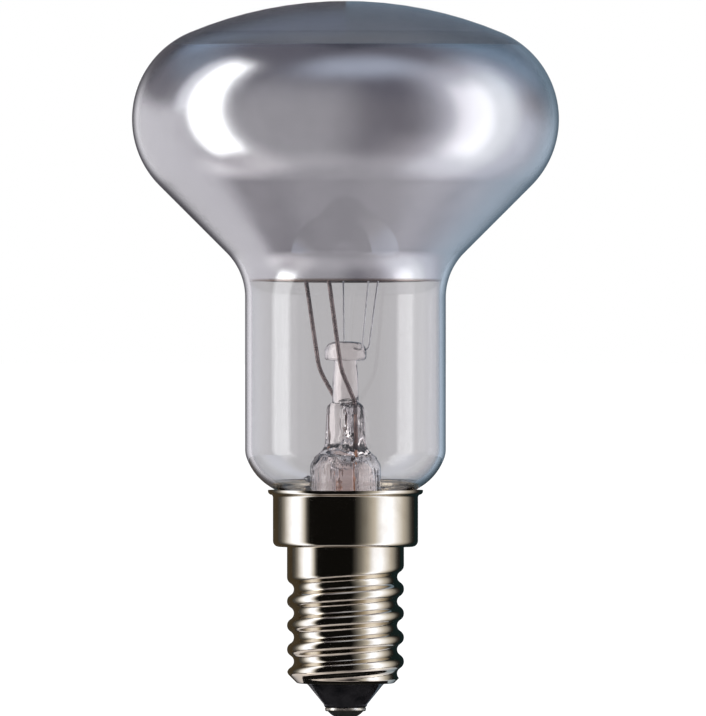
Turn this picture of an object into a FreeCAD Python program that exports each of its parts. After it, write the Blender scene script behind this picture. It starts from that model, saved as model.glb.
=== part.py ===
"""Reflector bulb with a 14 mm screw cap: blown glass with a mirrored head, pinched stem and cap.

The bulb stands on its centre contact, with its axis along +Z and the origin at the tip of the solder.
All lengths are in millimetres and all angles in degrees.
"""

import FreeCAD
import Part
import Sketcher
import math
import os

DRIVING = [
    # blown glass
    ("bulb_diameter", 50.0),
    ("dome_radius", 47.0),
    ("shoulder_radius", 11.0),
    ("reflector_angle", 45.0),
    ("throat_radius", 7.4),
    ("neck_diameter", 23.5),
    ("neck_length", 17.79),
    ("neck_corner_radius", 3.0),
    ("neck_corner_turn", 20.0),
    ("tail_angle", 58.0),
    ("tail_above_rim", 0.4),
    ("glass_wall", 0.7),
    ("seal_diameter", 12.8),
    ("seal_corner_radius", 2.5),
    ("seal_floor_gap", 1.3),
    # mirror on the inside of the head
    ("mirror_thickness", 0.05),
    ("mirror_rim_angle", 53.0),
    ("mirror_foot_angle", 14.0),
    # stem: flare tube, pinch, exhaust tube and arbor
    ("flare_diameter", 8.3),
    ("flare_wall", 0.75),
    ("flare_mouth_height", 2.6),
    ("flare_lip_height", 0.7),
    ("flare_height", 7.8),
    ("pinch_rise", 2.8),
    ("pinch_height", 4.4),
    ("pinch_low_width", 6.4),
    ("pinch_top_width", 5.4),
    ("pinch_thickness", 3.2),
    ("pinch_side_angle", 32.0),
    ("pinch_end_fullness", 1.1),
    ("pinch_azimuth", -60.0),
    ("stem_ceiling_rise", 0.9),
    ("stem_ceiling_diameter", 5.2),
    ("exhaust_diameter", 3.2),
    ("exhaust_bore", 2.0),
    ("exhaust_tip_drop", 7.2),
    ("blow_hole_diameter", 1.1),
    ("blow_hole_angle", 28.0),
    ("blow_hole_length", 4.0),
    ("blow_hole_start", 0.2),
    ("arbor_diameter", 3.0),
    ("arbor_neck_diameter", 2.6),
    ("arbor_height", 5.2),
    ("arbor_taper_height", 2.1),
    ("button_diameter", 4.9),
    ("button_height", 2.2),
    ("button_edge_radius", 1.2),
    ("button_foot_radius", 0.4),
    # wires
    ("lead_spacing", 4.2),
    ("inner_lead_diameter", 0.5),
    ("seal_wire_diameter", 0.4),
    ("outer_lead_diameter", 0.25),
    ("weld_depth", 1.0),
    ("weld_rise", 1.0),
    ("lead_exit", 0.5),
    ("knee_height", 4.2),
    ("knee_run", 2.05),
    ("lead_bend_radius", 1.6),
    ("knee_bend_radius", 6.0),
    ("clamp_diameter", 1.0),
    ("clamp_length", 1.2),
    ("support_diameter", 0.2),
    ("support_height", 1.3),
    ("support_root", 1.3),
    ("support_run", 2.9),
    ("support_bend_radius", 0.45),
    ("eye_width", 0.9),
    ("eye_drop", 0.5),
    ("eye_bend_radius", 0.36),
    ("side_lead_reach", 7.4),
    ("side_lead_rise", 0.55),
    ("side_lead_bend_radius", 0.8),
    ("centre_lead_jog_top", 14.0),
    ("centre_lead_jog_low", 11.0),
    ("centre_lead_bend_radius", 1.5),
    ("centre_lead_end", 0.5),
    # filament
    ("filament_below_widest", 8.3),
    ("filament_ring_diameter", 12.8),
    ("filament_diameter", 0.6),
    ("filament_corner_radius", 0.8),
    ("filament_tail", 0.4),
    ("filament_gap_angle", 73.5),
    ("filament_gap_azimuth", 202.0),
    # cap
    ("tip_height", 0.95),
    ("tip_diameter", 4.2),
    ("plate_diameter", 4.8),
    ("plate_thickness", 0.4),
    ("plate_hole_diameter", 1.2),
    ("plate_edge_radius", 0.15),
    ("insulator_end_diameter", 5.1),
    ("insulator_base_diameter", 9.0),
    ("insulator_cone_height", 2.85),
    ("insulator_end_radius", 0.4),
    ("insulator_chamfer", 0.3),
    ("insulator_seat_height", 2.1),
    ("insulator_cup_depth", 1.6),
    ("insulator_cup_diameter", 8.0),
    ("insulator_cup_draft", 0.6),
    ("shell_wall", 0.28),
    ("shell_height", 16.0),
    ("lip_diameter", 9.3),
    ("shell_foot_diameter", 11.9),
    ("shell_foot_radius", 0.5),
    ("shell_foot_angle", 45.0),
    ("thread_crest_diameter", 13.7),
    ("thread_pitch", 2.82),
    ("thread_depth", 0.8),
    ("thread_round", 0.822),
    ("thread_land", 0.3),
    ("thread_lead_in", 1.15),
    ("plain_band", 2.0),
    ("runout_turns", 0.3),
    ("skirt_diameter", 17.0),
    ("skirt_height", 6.65),
    ("skirt_corner_radius", 0.7),
    ("rim_overhang", 0.58),
    ("rim_lip", 0.15),
    ("flange_round", 0.3),
    ("flange_turn", 80.0),
    ("cement_low_rise", 0.35),
    ("cement_top_gap", 1.45),
    ("side_solder_diameter", 1.5),
    # clearances, and how far a cut runs past the metal
    ("rim_gap", 0.56),
    ("bond_gap", 0.02),
    ("insulator_gap", 0.05),
    ("thread_overcut", 0.05),
    ("cut_margin", 1.0),
]

WORKED = [
    # cap heights and radii
    ("plate_z", "Sizes.tip_height"),
    ("insulator_z", "plate_z + Sizes.plate_thickness"),
    ("shell_z", "insulator_z + Sizes.insulator_cone_height"),
    ("floor_z", "shell_z + Sizes.shell_height"),
    ("rim_z", "floor_z + Sizes.skirt_height"),
    ("crest_radius", "Sizes.thread_crest_diameter / 2"),
    ("root_radius", "crest_radius - Sizes.thread_depth"),
    ("skirt_radius", "Sizes.skirt_diameter / 2"),
    ("rim_radius", "skirt_radius + Sizes.rim_overhang"),
    ("rim_inner", "rim_radius - Sizes.shell_wall"),
    ("flange_reach", "Sizes.rim_overhang / (1 - cos(Sizes.flange_turn))"),
    ("flange_edge", "flange_reach - Sizes.flange_round"),
    ("flange_top_z", "rim_z - Sizes.rim_lip"),
    ("flange_low_z", "flange_top_z - flange_reach * sin(Sizes.flange_turn)"),
    ("foot_radius", "Sizes.shell_foot_diameter / 2"),
    ("foot_centre", "foot_radius - Sizes.shell_foot_radius"),
    ("foot_z", "shell_z + Sizes.shell_foot_radius"),
    # the knuckle thread: centres of its rounds, the turn at which they meet, and its length
    ("round_centre", "root_radius + Sizes.thread_round"),
    ("crest_centre", "crest_radius - Sizes.thread_round"),
    ("foot_reach", "(crest_centre - foot_centre) * sin(Sizes.shell_foot_angle)"),
    ("foot_growth", "Sizes.thread_round - Sizes.shell_foot_radius"),
    ("barrel_z", "foot_z + (foot_reach + foot_growth) / cos(Sizes.shell_foot_angle)"),
    ("thread_turn", "atan(Sizes.thread_pitch / 2 / (round_centre - crest_centre))"),
    ("thread_half_width", "(Sizes.thread_pitch - Sizes.thread_land) / 2"),
    ("groove_z", "shell_z + Sizes.thread_lead_in - Sizes.thread_pitch"),
    ("groove_limit", "floor_z - Sizes.plain_band - Sizes.thread_pitch / 2"),
    ("groove_turns", "floor((groove_limit - groove_z) / Sizes.thread_pitch)"),
    ("groove_height", "groove_turns * Sizes.thread_pitch"),
    ("runout_height", "Sizes.runout_turns * Sizes.thread_pitch"),
    ("runout_angle", "atan((Sizes.thread_depth + 2 * Sizes.thread_overcut) / runout_height)"),
    # outer surface of the glass, from the seal up
    ("seal_radius", "Sizes.seal_diameter / 2"),
    ("seal_z", "floor_z + Sizes.shell_wall + Sizes.seal_floor_gap"),
    ("tail_radius", "rim_inner - Sizes.rim_gap"),
    ("tail_top_radius", "tail_radius + Sizes.tail_above_rim * tan(Sizes.tail_angle)"),
    ("tail_top_z", "rim_z + Sizes.tail_above_rim"),
    ("seal_top_radius", "seal_radius + Sizes.seal_corner_radius * (1 - cos(Sizes.tail_angle))"),
    ("seal_top_z", "tail_top_z - (tail_top_radius - seal_top_radius) / tan(Sizes.tail_angle)"),
    ("seal_corner_z", "seal_top_z - Sizes.seal_corner_radius * sin(Sizes.tail_angle)"),
    ("neck_radius", "Sizes.neck_diameter / 2"),
    ("belly_top_radius", "neck_radius - Sizes.neck_corner_radius * (1 - cos(Sizes.neck_corner_turn))"),
    ("belly_turn", "cos(Sizes.neck_corner_turn) - cos(Sizes.tail_angle)"),
    ("belly_radius", "(belly_top_radius - tail_top_radius) / belly_turn"),
    ("belly_z", "tail_top_z + belly_radius * sin(Sizes.tail_angle)"),
    ("neck_corner_sine", "sin(Sizes.neck_corner_turn)"),
    ("neck_low_z", "belly_z - (belly_radius - Sizes.neck_corner_radius) * neck_corner_sine"),
    ("throat_z", "neck_low_z + Sizes.neck_length"),
    ("bulb_radius", "Sizes.bulb_diameter / 2"),
    ("shoulder_centre", "bulb_radius - Sizes.shoulder_radius"),
    ("cone_low_radius", "neck_radius + Sizes.throat_radius * (1 - cos(Sizes.reflector_angle))"),
    ("cone_low_z", "throat_z + Sizes.throat_radius * sin(Sizes.reflector_angle)"),
    ("cone_top_radius", "shoulder_centre + Sizes.shoulder_radius * cos(Sizes.reflector_angle)"),
    ("cone_top_z", "cone_low_z + (cone_top_radius - cone_low_radius) / tan(Sizes.reflector_angle)"),
    ("widest_z", "cone_top_z + Sizes.shoulder_radius * sin(Sizes.reflector_angle)"),
    ("dome_to_shoulder", "Sizes.dome_radius - Sizes.shoulder_radius"),
    ("dome_z", "widest_z - sqrt(pow(dome_to_shoulder; 2) - pow(shoulder_centre; 2))"),
    ("brow_sine", "shoulder_centre / dome_to_shoulder"),
    ("brow_cosine", "(widest_z - dome_z) / dome_to_shoulder"),
    # stem
    ("flare_radius", "Sizes.flare_diameter / 2"),
    ("flare_bore", "flare_radius - Sizes.flare_wall"),
    ("flare_mouth_radius", "seal_radius - Sizes.glass_wall - Sizes.bond_gap"),
    ("flare_top_z", "seal_z + Sizes.flare_height"),
    ("ceiling_z", "flare_top_z + Sizes.stem_ceiling_rise"),
    ("pinch_z", "flare_top_z + Sizes.pinch_rise"),
    ("pinch_top_z", "pinch_z + Sizes.pinch_height"),
    ("exhaust_radius", "Sizes.exhaust_diameter / 2"),
    ("exhaust_top_z", "ceiling_z - Sizes.bond_gap"),
    ("exhaust_low_z", "seal_z - Sizes.exhaust_tip_drop"),
    ("arbor_z", "pinch_top_z + Sizes.bond_gap"),
    ("button_z", "arbor_z + Sizes.arbor_height"),
    ("button_top_z", "button_z + Sizes.button_height"),
    # wires and filament
    ("lead_offset", "Sizes.lead_spacing / 2"),
    ("lower_weld_z", "ceiling_z + Sizes.weld_rise"),
    ("upper_weld_z", "pinch_top_z - Sizes.weld_depth"),
    ("lead_exit_z", "pinch_top_z + Sizes.lead_exit"),
    ("knee_z", "pinch_top_z + Sizes.knee_height"),
    ("filament_z", "widest_z - Sizes.filament_below_widest"),
    ("ring_radius", "Sizes.filament_ring_diameter / 2"),
    ("ring_step", "(360 - Sizes.filament_gap_angle) / 4"),
    ("ring_start", "Sizes.filament_gap_azimuth + Sizes.filament_gap_angle / 2"),
    ("ring_corner", "ring_radius - Sizes.filament_corner_radius * (1 / cos(ring_step / 2) - 1)"),
    ("eye_half", "Sizes.eye_width / 2"),
    ("support_z", "button_z + Sizes.support_height"),
    ("side_lead_z", "(floor_z + Sizes.shell_wall + seal_z) / 2"),
    ("slot_radius", "tail_radius + Sizes.rim_gap / 2"),
    ("side_lead_turn_z", "rim_z - (slot_radius - Sizes.side_lead_reach) / tan(Sizes.tail_angle)"),
    ("side_lead_end_radius", "slot_radius + Sizes.side_lead_rise * tan(Sizes.tail_angle)"),
    ("side_lead_end_z", "rim_z + Sizes.side_lead_rise"),
    # cement, between the glass tail and the skirt
    ("cement_low_z", "seal_z + Sizes.cement_low_rise"),
    ("cement_top_z", "rim_z - Sizes.cement_top_gap"),
    ("cement_round", "Sizes.seal_corner_radius - Sizes.bond_gap"),
    ("cement_drop", "sqrt(pow(cement_round; 2) - pow(cement_top_z - seal_corner_z; 2))"),
    ("cement_top_radius", "seal_radius + Sizes.seal_corner_radius - cement_drop"),
    ("solder_top_z", "insulator_z + Sizes.plate_thickness"),
    ("solder_dome", "(pow(Sizes.tip_diameter / 2; 2) + pow(Sizes.tip_height; 2)) / (2 * Sizes.tip_height)"),
]

document = FreeCAD.newDocument("reflector_bulb")


def fill_sheets():
    """Writes the driving dimensions as plain numbers, and what follows from them as formulas."""
    sheets = []
    for name in ("Sizes", "Worked"):
        sheets.append(document.addObject("Spreadsheet::Sheet", name))
    sizes, worked = sheets
    for row, (alias, number) in enumerate(DRIVING, start=1):
        sizes.set("A%d" % row, alias)
        sizes.set("B%d" % row, str(number))
        sizes.setAlias("B%d" % row, alias)
    document.recompute()
    for row, (alias, formula) in enumerate(WORKED, start=1):
        worked.set("A%d" % row, alias)
        worked.setAlias("B%d" % row, alias)
        worked.set("B%d" % row, "=" + formula)
    document.recompute()
    return sizes, worked


sizes, worked = fill_sheets()


def value(formula):
    """The number that a formula on the two sheets gives now."""
    number = worked.evalExpression(formula)
    return float(getattr(number, "Value", number))


def origin_part(body, role):
    """The plane or axis of a body's own origin that plays a role, such as XY_Plane or Z_Axis."""
    return next(part for part in body.Origin.OriginFeatures if part.Role == role)


def new_body(label):
    """A body whose label names the finished piece."""
    body = document.addObject("PartDesign::Body", label)
    body.Label = label
    return body


def place(body, azimuth, x="0", y="0"):
    """Turns a piece about the bulb's axis and moves it sideways, both by formula."""
    body.Placement = FreeCAD.Placement(
        FreeCAD.Vector(value(x), value(y), 0),
        FreeCAD.Rotation(FreeCAD.Vector(0, 0, 1), value(azimuth)),
    )
    body.setExpression("Placement.Rotation.Angle", azimuth)
    body.setExpression("Placement.Base.x", x)
    body.setExpression("Placement.Base.y", y)


def new_sketch(body, name, role, lift=None):
    """A sketch on one of the body's origin planes, lifted off it by a formula where one is given."""
    sketch = body.newObject("Sketcher::SketchObject", name)
    sketch.AttachmentSupport = [(origin_part(body, role), "")]
    sketch.MapMode = "FlatFace"
    if lift:
        sketch.setExpression("AttachmentOffset.Base.z", lift)
    return sketch


def pin(sketch, element, end, x, y):
    """Holds one point of a sketch at two formulas, on the axes themselves where a formula is 0."""
    for kind, formula, axis in (("DistanceX", x, -2), ("DistanceY", y, -1)):
        if formula == "0":
            sketch.addConstraint(Sketcher.Constraint("PointOnObject", element, end, axis))
            continue
        if value(formula) < 0:
            ends = (element, end, -1, 1)
            formula = "-(%s)" % formula
        else:
            ends = (-1, 1, element, end)
        index = sketch.addConstraint(Sketcher.Constraint(kind, *ends, value(formula)))
        sketch.setExpression("Constraints[%d]" % index, formula)


def bind_radius(sketch, element, formula):
    """Gives a circle or arc its radius by formula."""
    index = sketch.addConstraint(Sketcher.Constraint("Radius", element, value(formula)))
    sketch.setExpression("Constraints[%d]" % index, formula)


def arc_between(start, end, radius, side):
    """The shorter arc from start to end, with its centre on the left for side 1 and right for side -1."""
    chord = end - start
    middle = (start + end) * 0.5
    left = FreeCAD.Vector(-chord.y, chord.x, 0).normalize()
    centre = middle + left * side * math.sqrt(radius ** 2 - (chord.Length / 2) ** 2)
    first, last = (start, end) if side > 0 else (end, start)
    angles = [math.atan2(point.y - centre.y, point.x - centre.x) for point in (first, last)]
    circle = Part.Circle(centre, FreeCAD.Vector(0, 0, 1), radius)
    if angles[1] <= angles[0]:
        angles[1] += 2 * math.pi
    return Part.ArcOfCircle(circle, *angles)


def draw_outline(sketch, corners):
    """Draws a closed outline through corners given by formula.

    A corner (x, y) is reached by a straight line, and (x, y, radius, side) by an arc.
    """
    points = [FreeCAD.Vector(value(corner[0]), value(corner[1]), 0) for corner in corners]
    ends = []
    for index, corner in enumerate(corners):
        start, end = points[index - 1], points[index]
        if len(corner) == 2:
            element = sketch.addGeometry(Part.LineSegment(start, end))
            ends.append((element, 1, 2))
            continue
        radius, side = corner[2:]
        element = sketch.addGeometry(arc_between(start, end, value(radius), side))
        ends.append((element, 1, 2) if side > 0 else (element, 2, 1))
        bind_radius(sketch, element, radius)
    for index, corner in enumerate(corners):
        element, _, last = ends[index]
        following, first, _ = ends[(index + 1) % len(corners)]
        sketch.addConstraint(Sketcher.Constraint("Coincident", element, last, following, first))
        pin(sketch, element, last, corner[0], corner[1])


def draw_circle(sketch, x, y, radius):
    """Draws a circle from formulas for its centre and radius."""
    centre = FreeCAD.Vector(value(x), value(y), 0)
    element = sketch.addGeometry(Part.Circle(centre, FreeCAD.Vector(0, 0, 1), value(radius)))
    pin(sketch, element, 3, x, y)
    bind_radius(sketch, element, radius)


def draw_bent_path(sketch, corners, radii):
    """Draws straight runs between corners given by formula, with a tangent arc at each bend."""
    points = [FreeCAD.Vector(value(x), value(y), 0) for x, y in corners]
    runs = [(last - first).normalize() for first, last in zip(points, points[1:])]
    cuts = [0.0]
    for before, after, radius in zip(runs, runs[1:], radii):
        cuts.append(value(radius) * math.tan(before.getAngle(after) / 2))
    cuts.append(0.0)
    lines = []
    for index, run in enumerate(runs):
        start = points[index] + run * cuts[index]
        end = points[index + 1] - run * cuts[index + 1]
        lines.append(sketch.addGeometry(Part.LineSegment(start, end)))
    for index, radius in enumerate(radii):
        bend = index + 1
        start = points[bend] - runs[index] * cuts[bend]
        end = points[bend] + runs[bend] * cuts[bend]
        side = 1 if runs[index].cross(runs[bend]).z > 0 else -1
        arc = sketch.addGeometry(arc_between(start, end, value(radius), side))
        first, last = (1, 2) if side > 0 else (2, 1)
        sketch.addConstraint(Sketcher.Constraint("Tangent", lines[index], 2, arc, first))
        sketch.addConstraint(Sketcher.Constraint("Tangent", arc, last, lines[bend], 1))
        bind_radius(sketch, arc, radius)
        corner = sketch.addGeometry(Part.Point(points[bend]), True)
        pin(sketch, corner, 1, *corners[bend])
        sketch.addConstraint(Sketcher.Constraint("PointOnObject", corner, 1, lines[index]))
        sketch.addConstraint(Sketcher.Constraint("PointOnObject", corner, 1, lines[bend]))
    pin(sketch, lines[0], 1, *corners[0])
    pin(sketch, lines[-1], 2, *corners[-1])


def revolve(body, name, corners):
    """Turns an outline of (radius, height) corners once round the axis."""
    outline = new_sketch(body, name + "_outline", "XZ_Plane")
    draw_outline(outline, corners)
    turned = body.newObject("PartDesign::Revolution", name)
    turned.Profile = outline
    turned.ReferenceAxis = (origin_part(body, "Z_Axis"), [""])
    turned.Angle = 360
    document.recompute()
    return turned


def sweep_wire(body, name, section_role, section, corners, radii, diameter, path="XZ_Plane", lift=None):
    """Sweeps a round wire along a bent path; section gives its start as (x, y, height off the plane)."""
    path = new_sketch(body, name + "_path", path, lift)
    draw_bent_path(path, corners, radii)
    circle = new_sketch(body, name + "_section", section_role, section[2])
    draw_circle(circle, section[0], section[1], diameter + " / 2")
    wire = body.newObject("PartDesign::AdditivePipe", name)
    wire.Profile = circle
    wire.Spine = (path, ["Edge%d" % (index + 1) for index in range(len(corners) - 1 + len(radii))])
    document.recompute()
    return wire


def pocket(body, name, low_end, high_end, circles):
    """Drills round holes along the axis between two heights; circles are (x, y, radius) formulas."""
    sketch = new_sketch(body, name + "_circles", "XY_Plane", low_end)
    for circle in circles:
        draw_circle(sketch, *circle)
    hole = body.newObject("PartDesign::Pocket", name)
    hole.Profile = sketch
    hole.Reversed = True
    hole.setExpression("Length", "%s - (%s)" % (high_end, low_end))
    document.recompute()
    return hole


def glass_line(inset):
    """The glass outline from the dome to the seal, moved inwards from the outer surface by a formula.

    The arcs keep their centres, so the wall is equally thick everywhere.
    """
    reflector = "Sizes.reflector_angle"
    tail = "Sizes.tail_angle"
    corner = "Sizes.neck_corner_turn"
    shift = "(%s)" % inset
    return [
        ("0", "Worked.dome_z + Sizes.dome_radius - " + shift),
        (
            "(Sizes.dome_radius - %s) * Worked.brow_sine" % shift,
            "Worked.dome_z + (Sizes.dome_radius - %s) * Worked.brow_cosine" % shift,
            "Sizes.dome_radius - " + shift,
            -1,
        ),
        (
            "Worked.cone_top_radius - %s * cos(%s)" % (shift, reflector),
            "Worked.cone_top_z + %s * sin(%s)" % (shift, reflector),
            "Sizes.shoulder_radius - " + shift,
            -1,
        ),
        (
            "Worked.cone_low_radius - %s * cos(%s)" % (shift, reflector),
            "Worked.cone_low_z + %s * sin(%s)" % (shift, reflector),
        ),
        ("Worked.neck_radius - " + shift, "Worked.throat_z", "Sizes.throat_radius + " + shift, 1),
        ("Worked.neck_radius - " + shift, "Worked.neck_low_z"),
        (
            "Worked.belly_top_radius - %s * cos(%s)" % (shift, corner),
            "Worked.neck_low_z - (Sizes.neck_corner_radius - %s) * Worked.neck_corner_sine" % shift,
            "Sizes.neck_corner_radius - " + shift,
            -1,
        ),
        (
            "Worked.tail_top_radius - %s * cos(%s)" % (shift, tail),
            "Worked.tail_top_z + %s * sin(%s)" % (shift, tail),
            "Worked.belly_radius - " + shift,
            -1,
        ),
        (
            "Worked.seal_top_radius - %s * cos(%s)" % (shift, tail),
            "Worked.seal_top_z + %s * sin(%s)" % (shift, tail),
        ),
        ("Worked.seal_radius - " + shift, "Worked.seal_corner_z", "Sizes.seal_corner_radius + " + shift, 1),
        ("Worked.seal_radius - " + shift, "Worked.seal_z"),
    ]


def turned_back(corners):
    """The same chain of corners walked the other way; the first corner is reached by a straight line."""
    walked = [corners[-1][:2]]
    for previous, corner in zip(corners[-2::-1], corners[:0:-1]):
        if len(corner) == 4:
            walked.append(previous[:2] + (corner[2], -corner[3]))
        else:
            walked.append(previous[:2])
    return walked


def make_glass_envelope():
    """One blown bulb: shallow dome, cone for the mirror, plain neck, and a tail drawn in to the seal."""
    body = new_body("glass_envelope")
    revolve(body, "blown_wall", glass_line("0") + turned_back(glass_line("Sizes.glass_wall")))
    return body


def mirror_line(inset):
    """The part of the inner glass line that is silvered, from its rim down to its foot."""
    line = glass_line(inset)
    rim = "Sizes.mirror_rim_angle"
    foot = "Sizes.mirror_foot_angle"
    shift = "(%s)" % inset
    throat = "(Sizes.throat_radius + %s)" % shift
    shoulder = "(Sizes.shoulder_radius - %s)" % shift
    return [
        (
            "Worked.shoulder_centre + %s * cos(%s)" % (shoulder, rim),
            "Worked.widest_z + %s * sin(%s)" % (shoulder, rim),
        ),
        line[2],
        line[3],
        (
            "Worked.neck_radius + Sizes.throat_radius - %s * cos(%s)" % (throat, foot),
            "Worked.throat_z + %s * sin(%s)" % (throat, foot),
            throat,
            1,
        ),
    ]


def make_mirror_film():
    """The silvered lining of the head, open at the face and at the throat."""
    body = new_body("mirror_film")
    outer = "Sizes.glass_wall + Sizes.bond_gap"
    inner = outer + " + Sizes.mirror_thickness"
    revolve(body, "silvering", mirror_line(outer) + turned_back(mirror_line(inner)))
    return body


def draw_round_bar(sketch, length, thickness):
    """Draws a straight-sided bar with rounded ends about the origin, as four matched edges."""
    half = "%s / 2" % thickness
    fullness = "Sizes.pinch_end_fullness"
    rounding = "%s * %s" % (fullness, half)
    reach = "%s / 2 - %s * (%s - sqrt(pow(%s; 2) - 1))" % (length, half, fullness, fullness)
    draw_outline(
        sketch,
        [
            (reach, half, rounding, 1),
            ("-(%s)" % reach, half),
            ("-(%s)" % reach, "-(%s)" % half, rounding, 1),
            (reach, "-(%s)" % half),
        ],
    )


def draw_split_circle(sketch, radius, degrees):
    """Draws a circle as four arcs, two of them at the ends, so that it matches a round bar edge by edge."""
    reach = "%s * cos(%s)" % (radius, degrees)
    half = "%s * sin(%s)" % (radius, degrees)
    draw_outline(
        sketch,
        [
            (reach, half, radius, 1),
            ("-(%s)" % reach, half, radius, 1),
            ("-(%s)" % reach, "-(%s)" % half, radius, 1),
            (reach, "-(%s)" % half, radius, 1),
        ],
    )


def make_stem_press():
    """The glass stem: a tube flared at its foot to meet the seal, and pinched flat round the wires."""
    body = new_body("stem_press")
    revolve(
        body,
        "flare_tube",
        [
            ("Worked.flare_mouth_radius", "Worked.seal_z"),
            ("Worked.flare_mouth_radius", "Worked.seal_z + Sizes.flare_lip_height"),
            ("Worked.flare_radius", "Worked.seal_z + Sizes.flare_mouth_height"),
            ("Worked.flare_radius", "Worked.flare_top_z"),
            ("0", "Worked.flare_top_z"),
            ("0", "Worked.seal_z"),
        ],
    )
    low = new_sketch(body, "pinch_foot", "XY_Plane", "Worked.flare_top_z")
    draw_split_circle(low, "Worked.flare_radius", "Sizes.pinch_side_angle")
    middle = new_sketch(body, "pinch_shoulder", "XY_Plane", "Worked.pinch_z")
    draw_round_bar(middle, "Sizes.pinch_low_width", "Sizes.pinch_thickness")
    top = new_sketch(body, "pinch_end", "XY_Plane", "Worked.pinch_top_z")
    draw_round_bar(top, "Sizes.pinch_top_width", "Sizes.pinch_thickness")
    pinch = body.newObject("PartDesign::AdditiveLoft", "pinch")
    pinch.Profile = low
    pinch.Sections = [middle, top]
    pinch.Ruled = True
    document.recompute()
    bore = new_sketch(body, "stem_bore_outline", "XZ_Plane")
    draw_outline(
        bore,
        [
            ("0", "Worked.seal_z - Sizes.cut_margin"),
            ("Worked.flare_mouth_radius - Sizes.flare_wall", "Worked.seal_z - Sizes.cut_margin"),
            ("Worked.flare_mouth_radius - Sizes.flare_wall", "Worked.seal_z + Sizes.flare_lip_height / 2"),
            ("Worked.flare_bore", "Worked.seal_z + Sizes.flare_mouth_height"),
            ("Worked.flare_bore", "Worked.flare_top_z"),
            ("Sizes.stem_ceiling_diameter / 2", "Worked.ceiling_z"),
            ("0", "Worked.ceiling_z"),
        ],
    )
    groove = body.newObject("PartDesign::Groove", "stem_bore")
    groove.Profile = bore
    groove.ReferenceAxis = (origin_part(body, "Z_Axis"), [""])
    groove.Angle = 360
    document.recompute()
    for name, low_end, high_end, diameter in (
        ("outer_lead", "Worked.ceiling_z - Sizes.cut_margin", "Worked.lower_weld_z", "outer_lead_diameter"),
        ("seal_wire", "Worked.lower_weld_z", "Worked.upper_weld_z", "seal_wire_diameter"),
        ("inner_lead", "Worked.upper_weld_z", "Worked.lead_exit_z", "inner_lead_diameter"),
    ):
        radius = "Sizes.%s / 2 + Sizes.bond_gap" % diameter
        circles = [(side + "Worked.lead_offset", "0", radius) for side in ("", "-")]
        pocket(body, name + "_holes", low_end, high_end, circles)
    channel = new_sketch(body, "blow_hole_outline", "YZ_Plane")
    half = "Sizes.blow_hole_diameter / 2 / cos(Sizes.blow_hole_angle)"
    drift = "Sizes.blow_hole_length * tan(Sizes.blow_hole_angle)"
    low_z = "Worked.ceiling_z - Sizes.blow_hole_start"
    high_z = low_z + " + Sizes.blow_hole_length"
    draw_outline(
        channel,
        [
            ("-(%s)" % half, low_z),
            (half, low_z),
            ("%s + %s" % (half, drift), high_z),
            ("%s - (%s)" % (drift, half), high_z),
        ],
    )
    hole = body.newObject("PartDesign::Pocket", "blow_hole")
    hole.Profile = channel
    hole.Midplane = True
    hole.setExpression("Length", "Sizes.blow_hole_diameter")
    document.recompute()
    place(body, "Sizes.pinch_azimuth")
    return body


def make_exhaust_tube():
    """The thin tube through which the bulb was emptied, melted shut at its lower end inside the cap."""
    body = new_body("exhaust_tube")
    radius = "Worked.exhaust_radius"
    bore = "Sizes.exhaust_bore / 2"
    tip_z = "Worked.exhaust_low_z + Worked.exhaust_radius"
    revolve(
        body,
        "tube_wall",
        [
            ("0", "Worked.exhaust_low_z"),
            (radius, tip_z, radius, 1),
            (radius, "Worked.exhaust_top_z"),
            (bore, "Worked.exhaust_top_z"),
            (bore, tip_z + " + " + bore),
            ("0", tip_z, bore, -1),
        ],
    )
    return body


def make_glass_arbor():
    """The glass rod that stands on the pinch and ends in the button that holds the support wires."""
    body = new_body("glass_arbor")
    edge = "Sizes.button_edge_radius"
    foot = "Sizes.button_foot_radius"
    button = "Sizes.button_diameter / 2"
    revolve(
        body,
        "rod_and_button",
        [
            ("0", "Worked.arbor_z"),
            ("Sizes.arbor_diameter / 2", "Worked.arbor_z"),
            ("Sizes.arbor_diameter / 2", "Worked.button_z - Sizes.arbor_taper_height"),
            ("Sizes.arbor_neck_diameter / 2", "Worked.button_z"),
            (button + " - " + foot, "Worked.button_z"),
            (button, "Worked.button_z + " + foot, foot, 1),
            (button, "Worked.button_top_z - " + edge),
            (button + " - " + edge, "Worked.button_top_z", edge, 1),
            ("0", "Worked.button_top_z"),
        ],
    )
    holes = new_sketch(body, "support_hole_circle", "YZ_Plane", "Sizes.support_root")
    draw_circle(holes, "0", "Worked.support_z", "Sizes.support_diameter / 2 + Sizes.bond_gap")
    drill = body.newObject("PartDesign::Pocket", "support_holes")
    drill.Profile = holes
    drill.Reversed = True
    drill.setExpression("Length", "Sizes.button_diameter / 2")
    document.recompute()
    around = body.newObject("PartDesign::PolarPattern", "support_holes_around")
    around.Originals = [drill]
    around.Axis = (origin_part(body, "Z_Axis"), [""])
    around.Occurrences = 3
    around.setExpression("Angle", "2 * Worked.ring_step")
    body.Tip = around
    document.recompute()
    place(body, "Worked.ring_start + Worked.ring_step")
    return body


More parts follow.
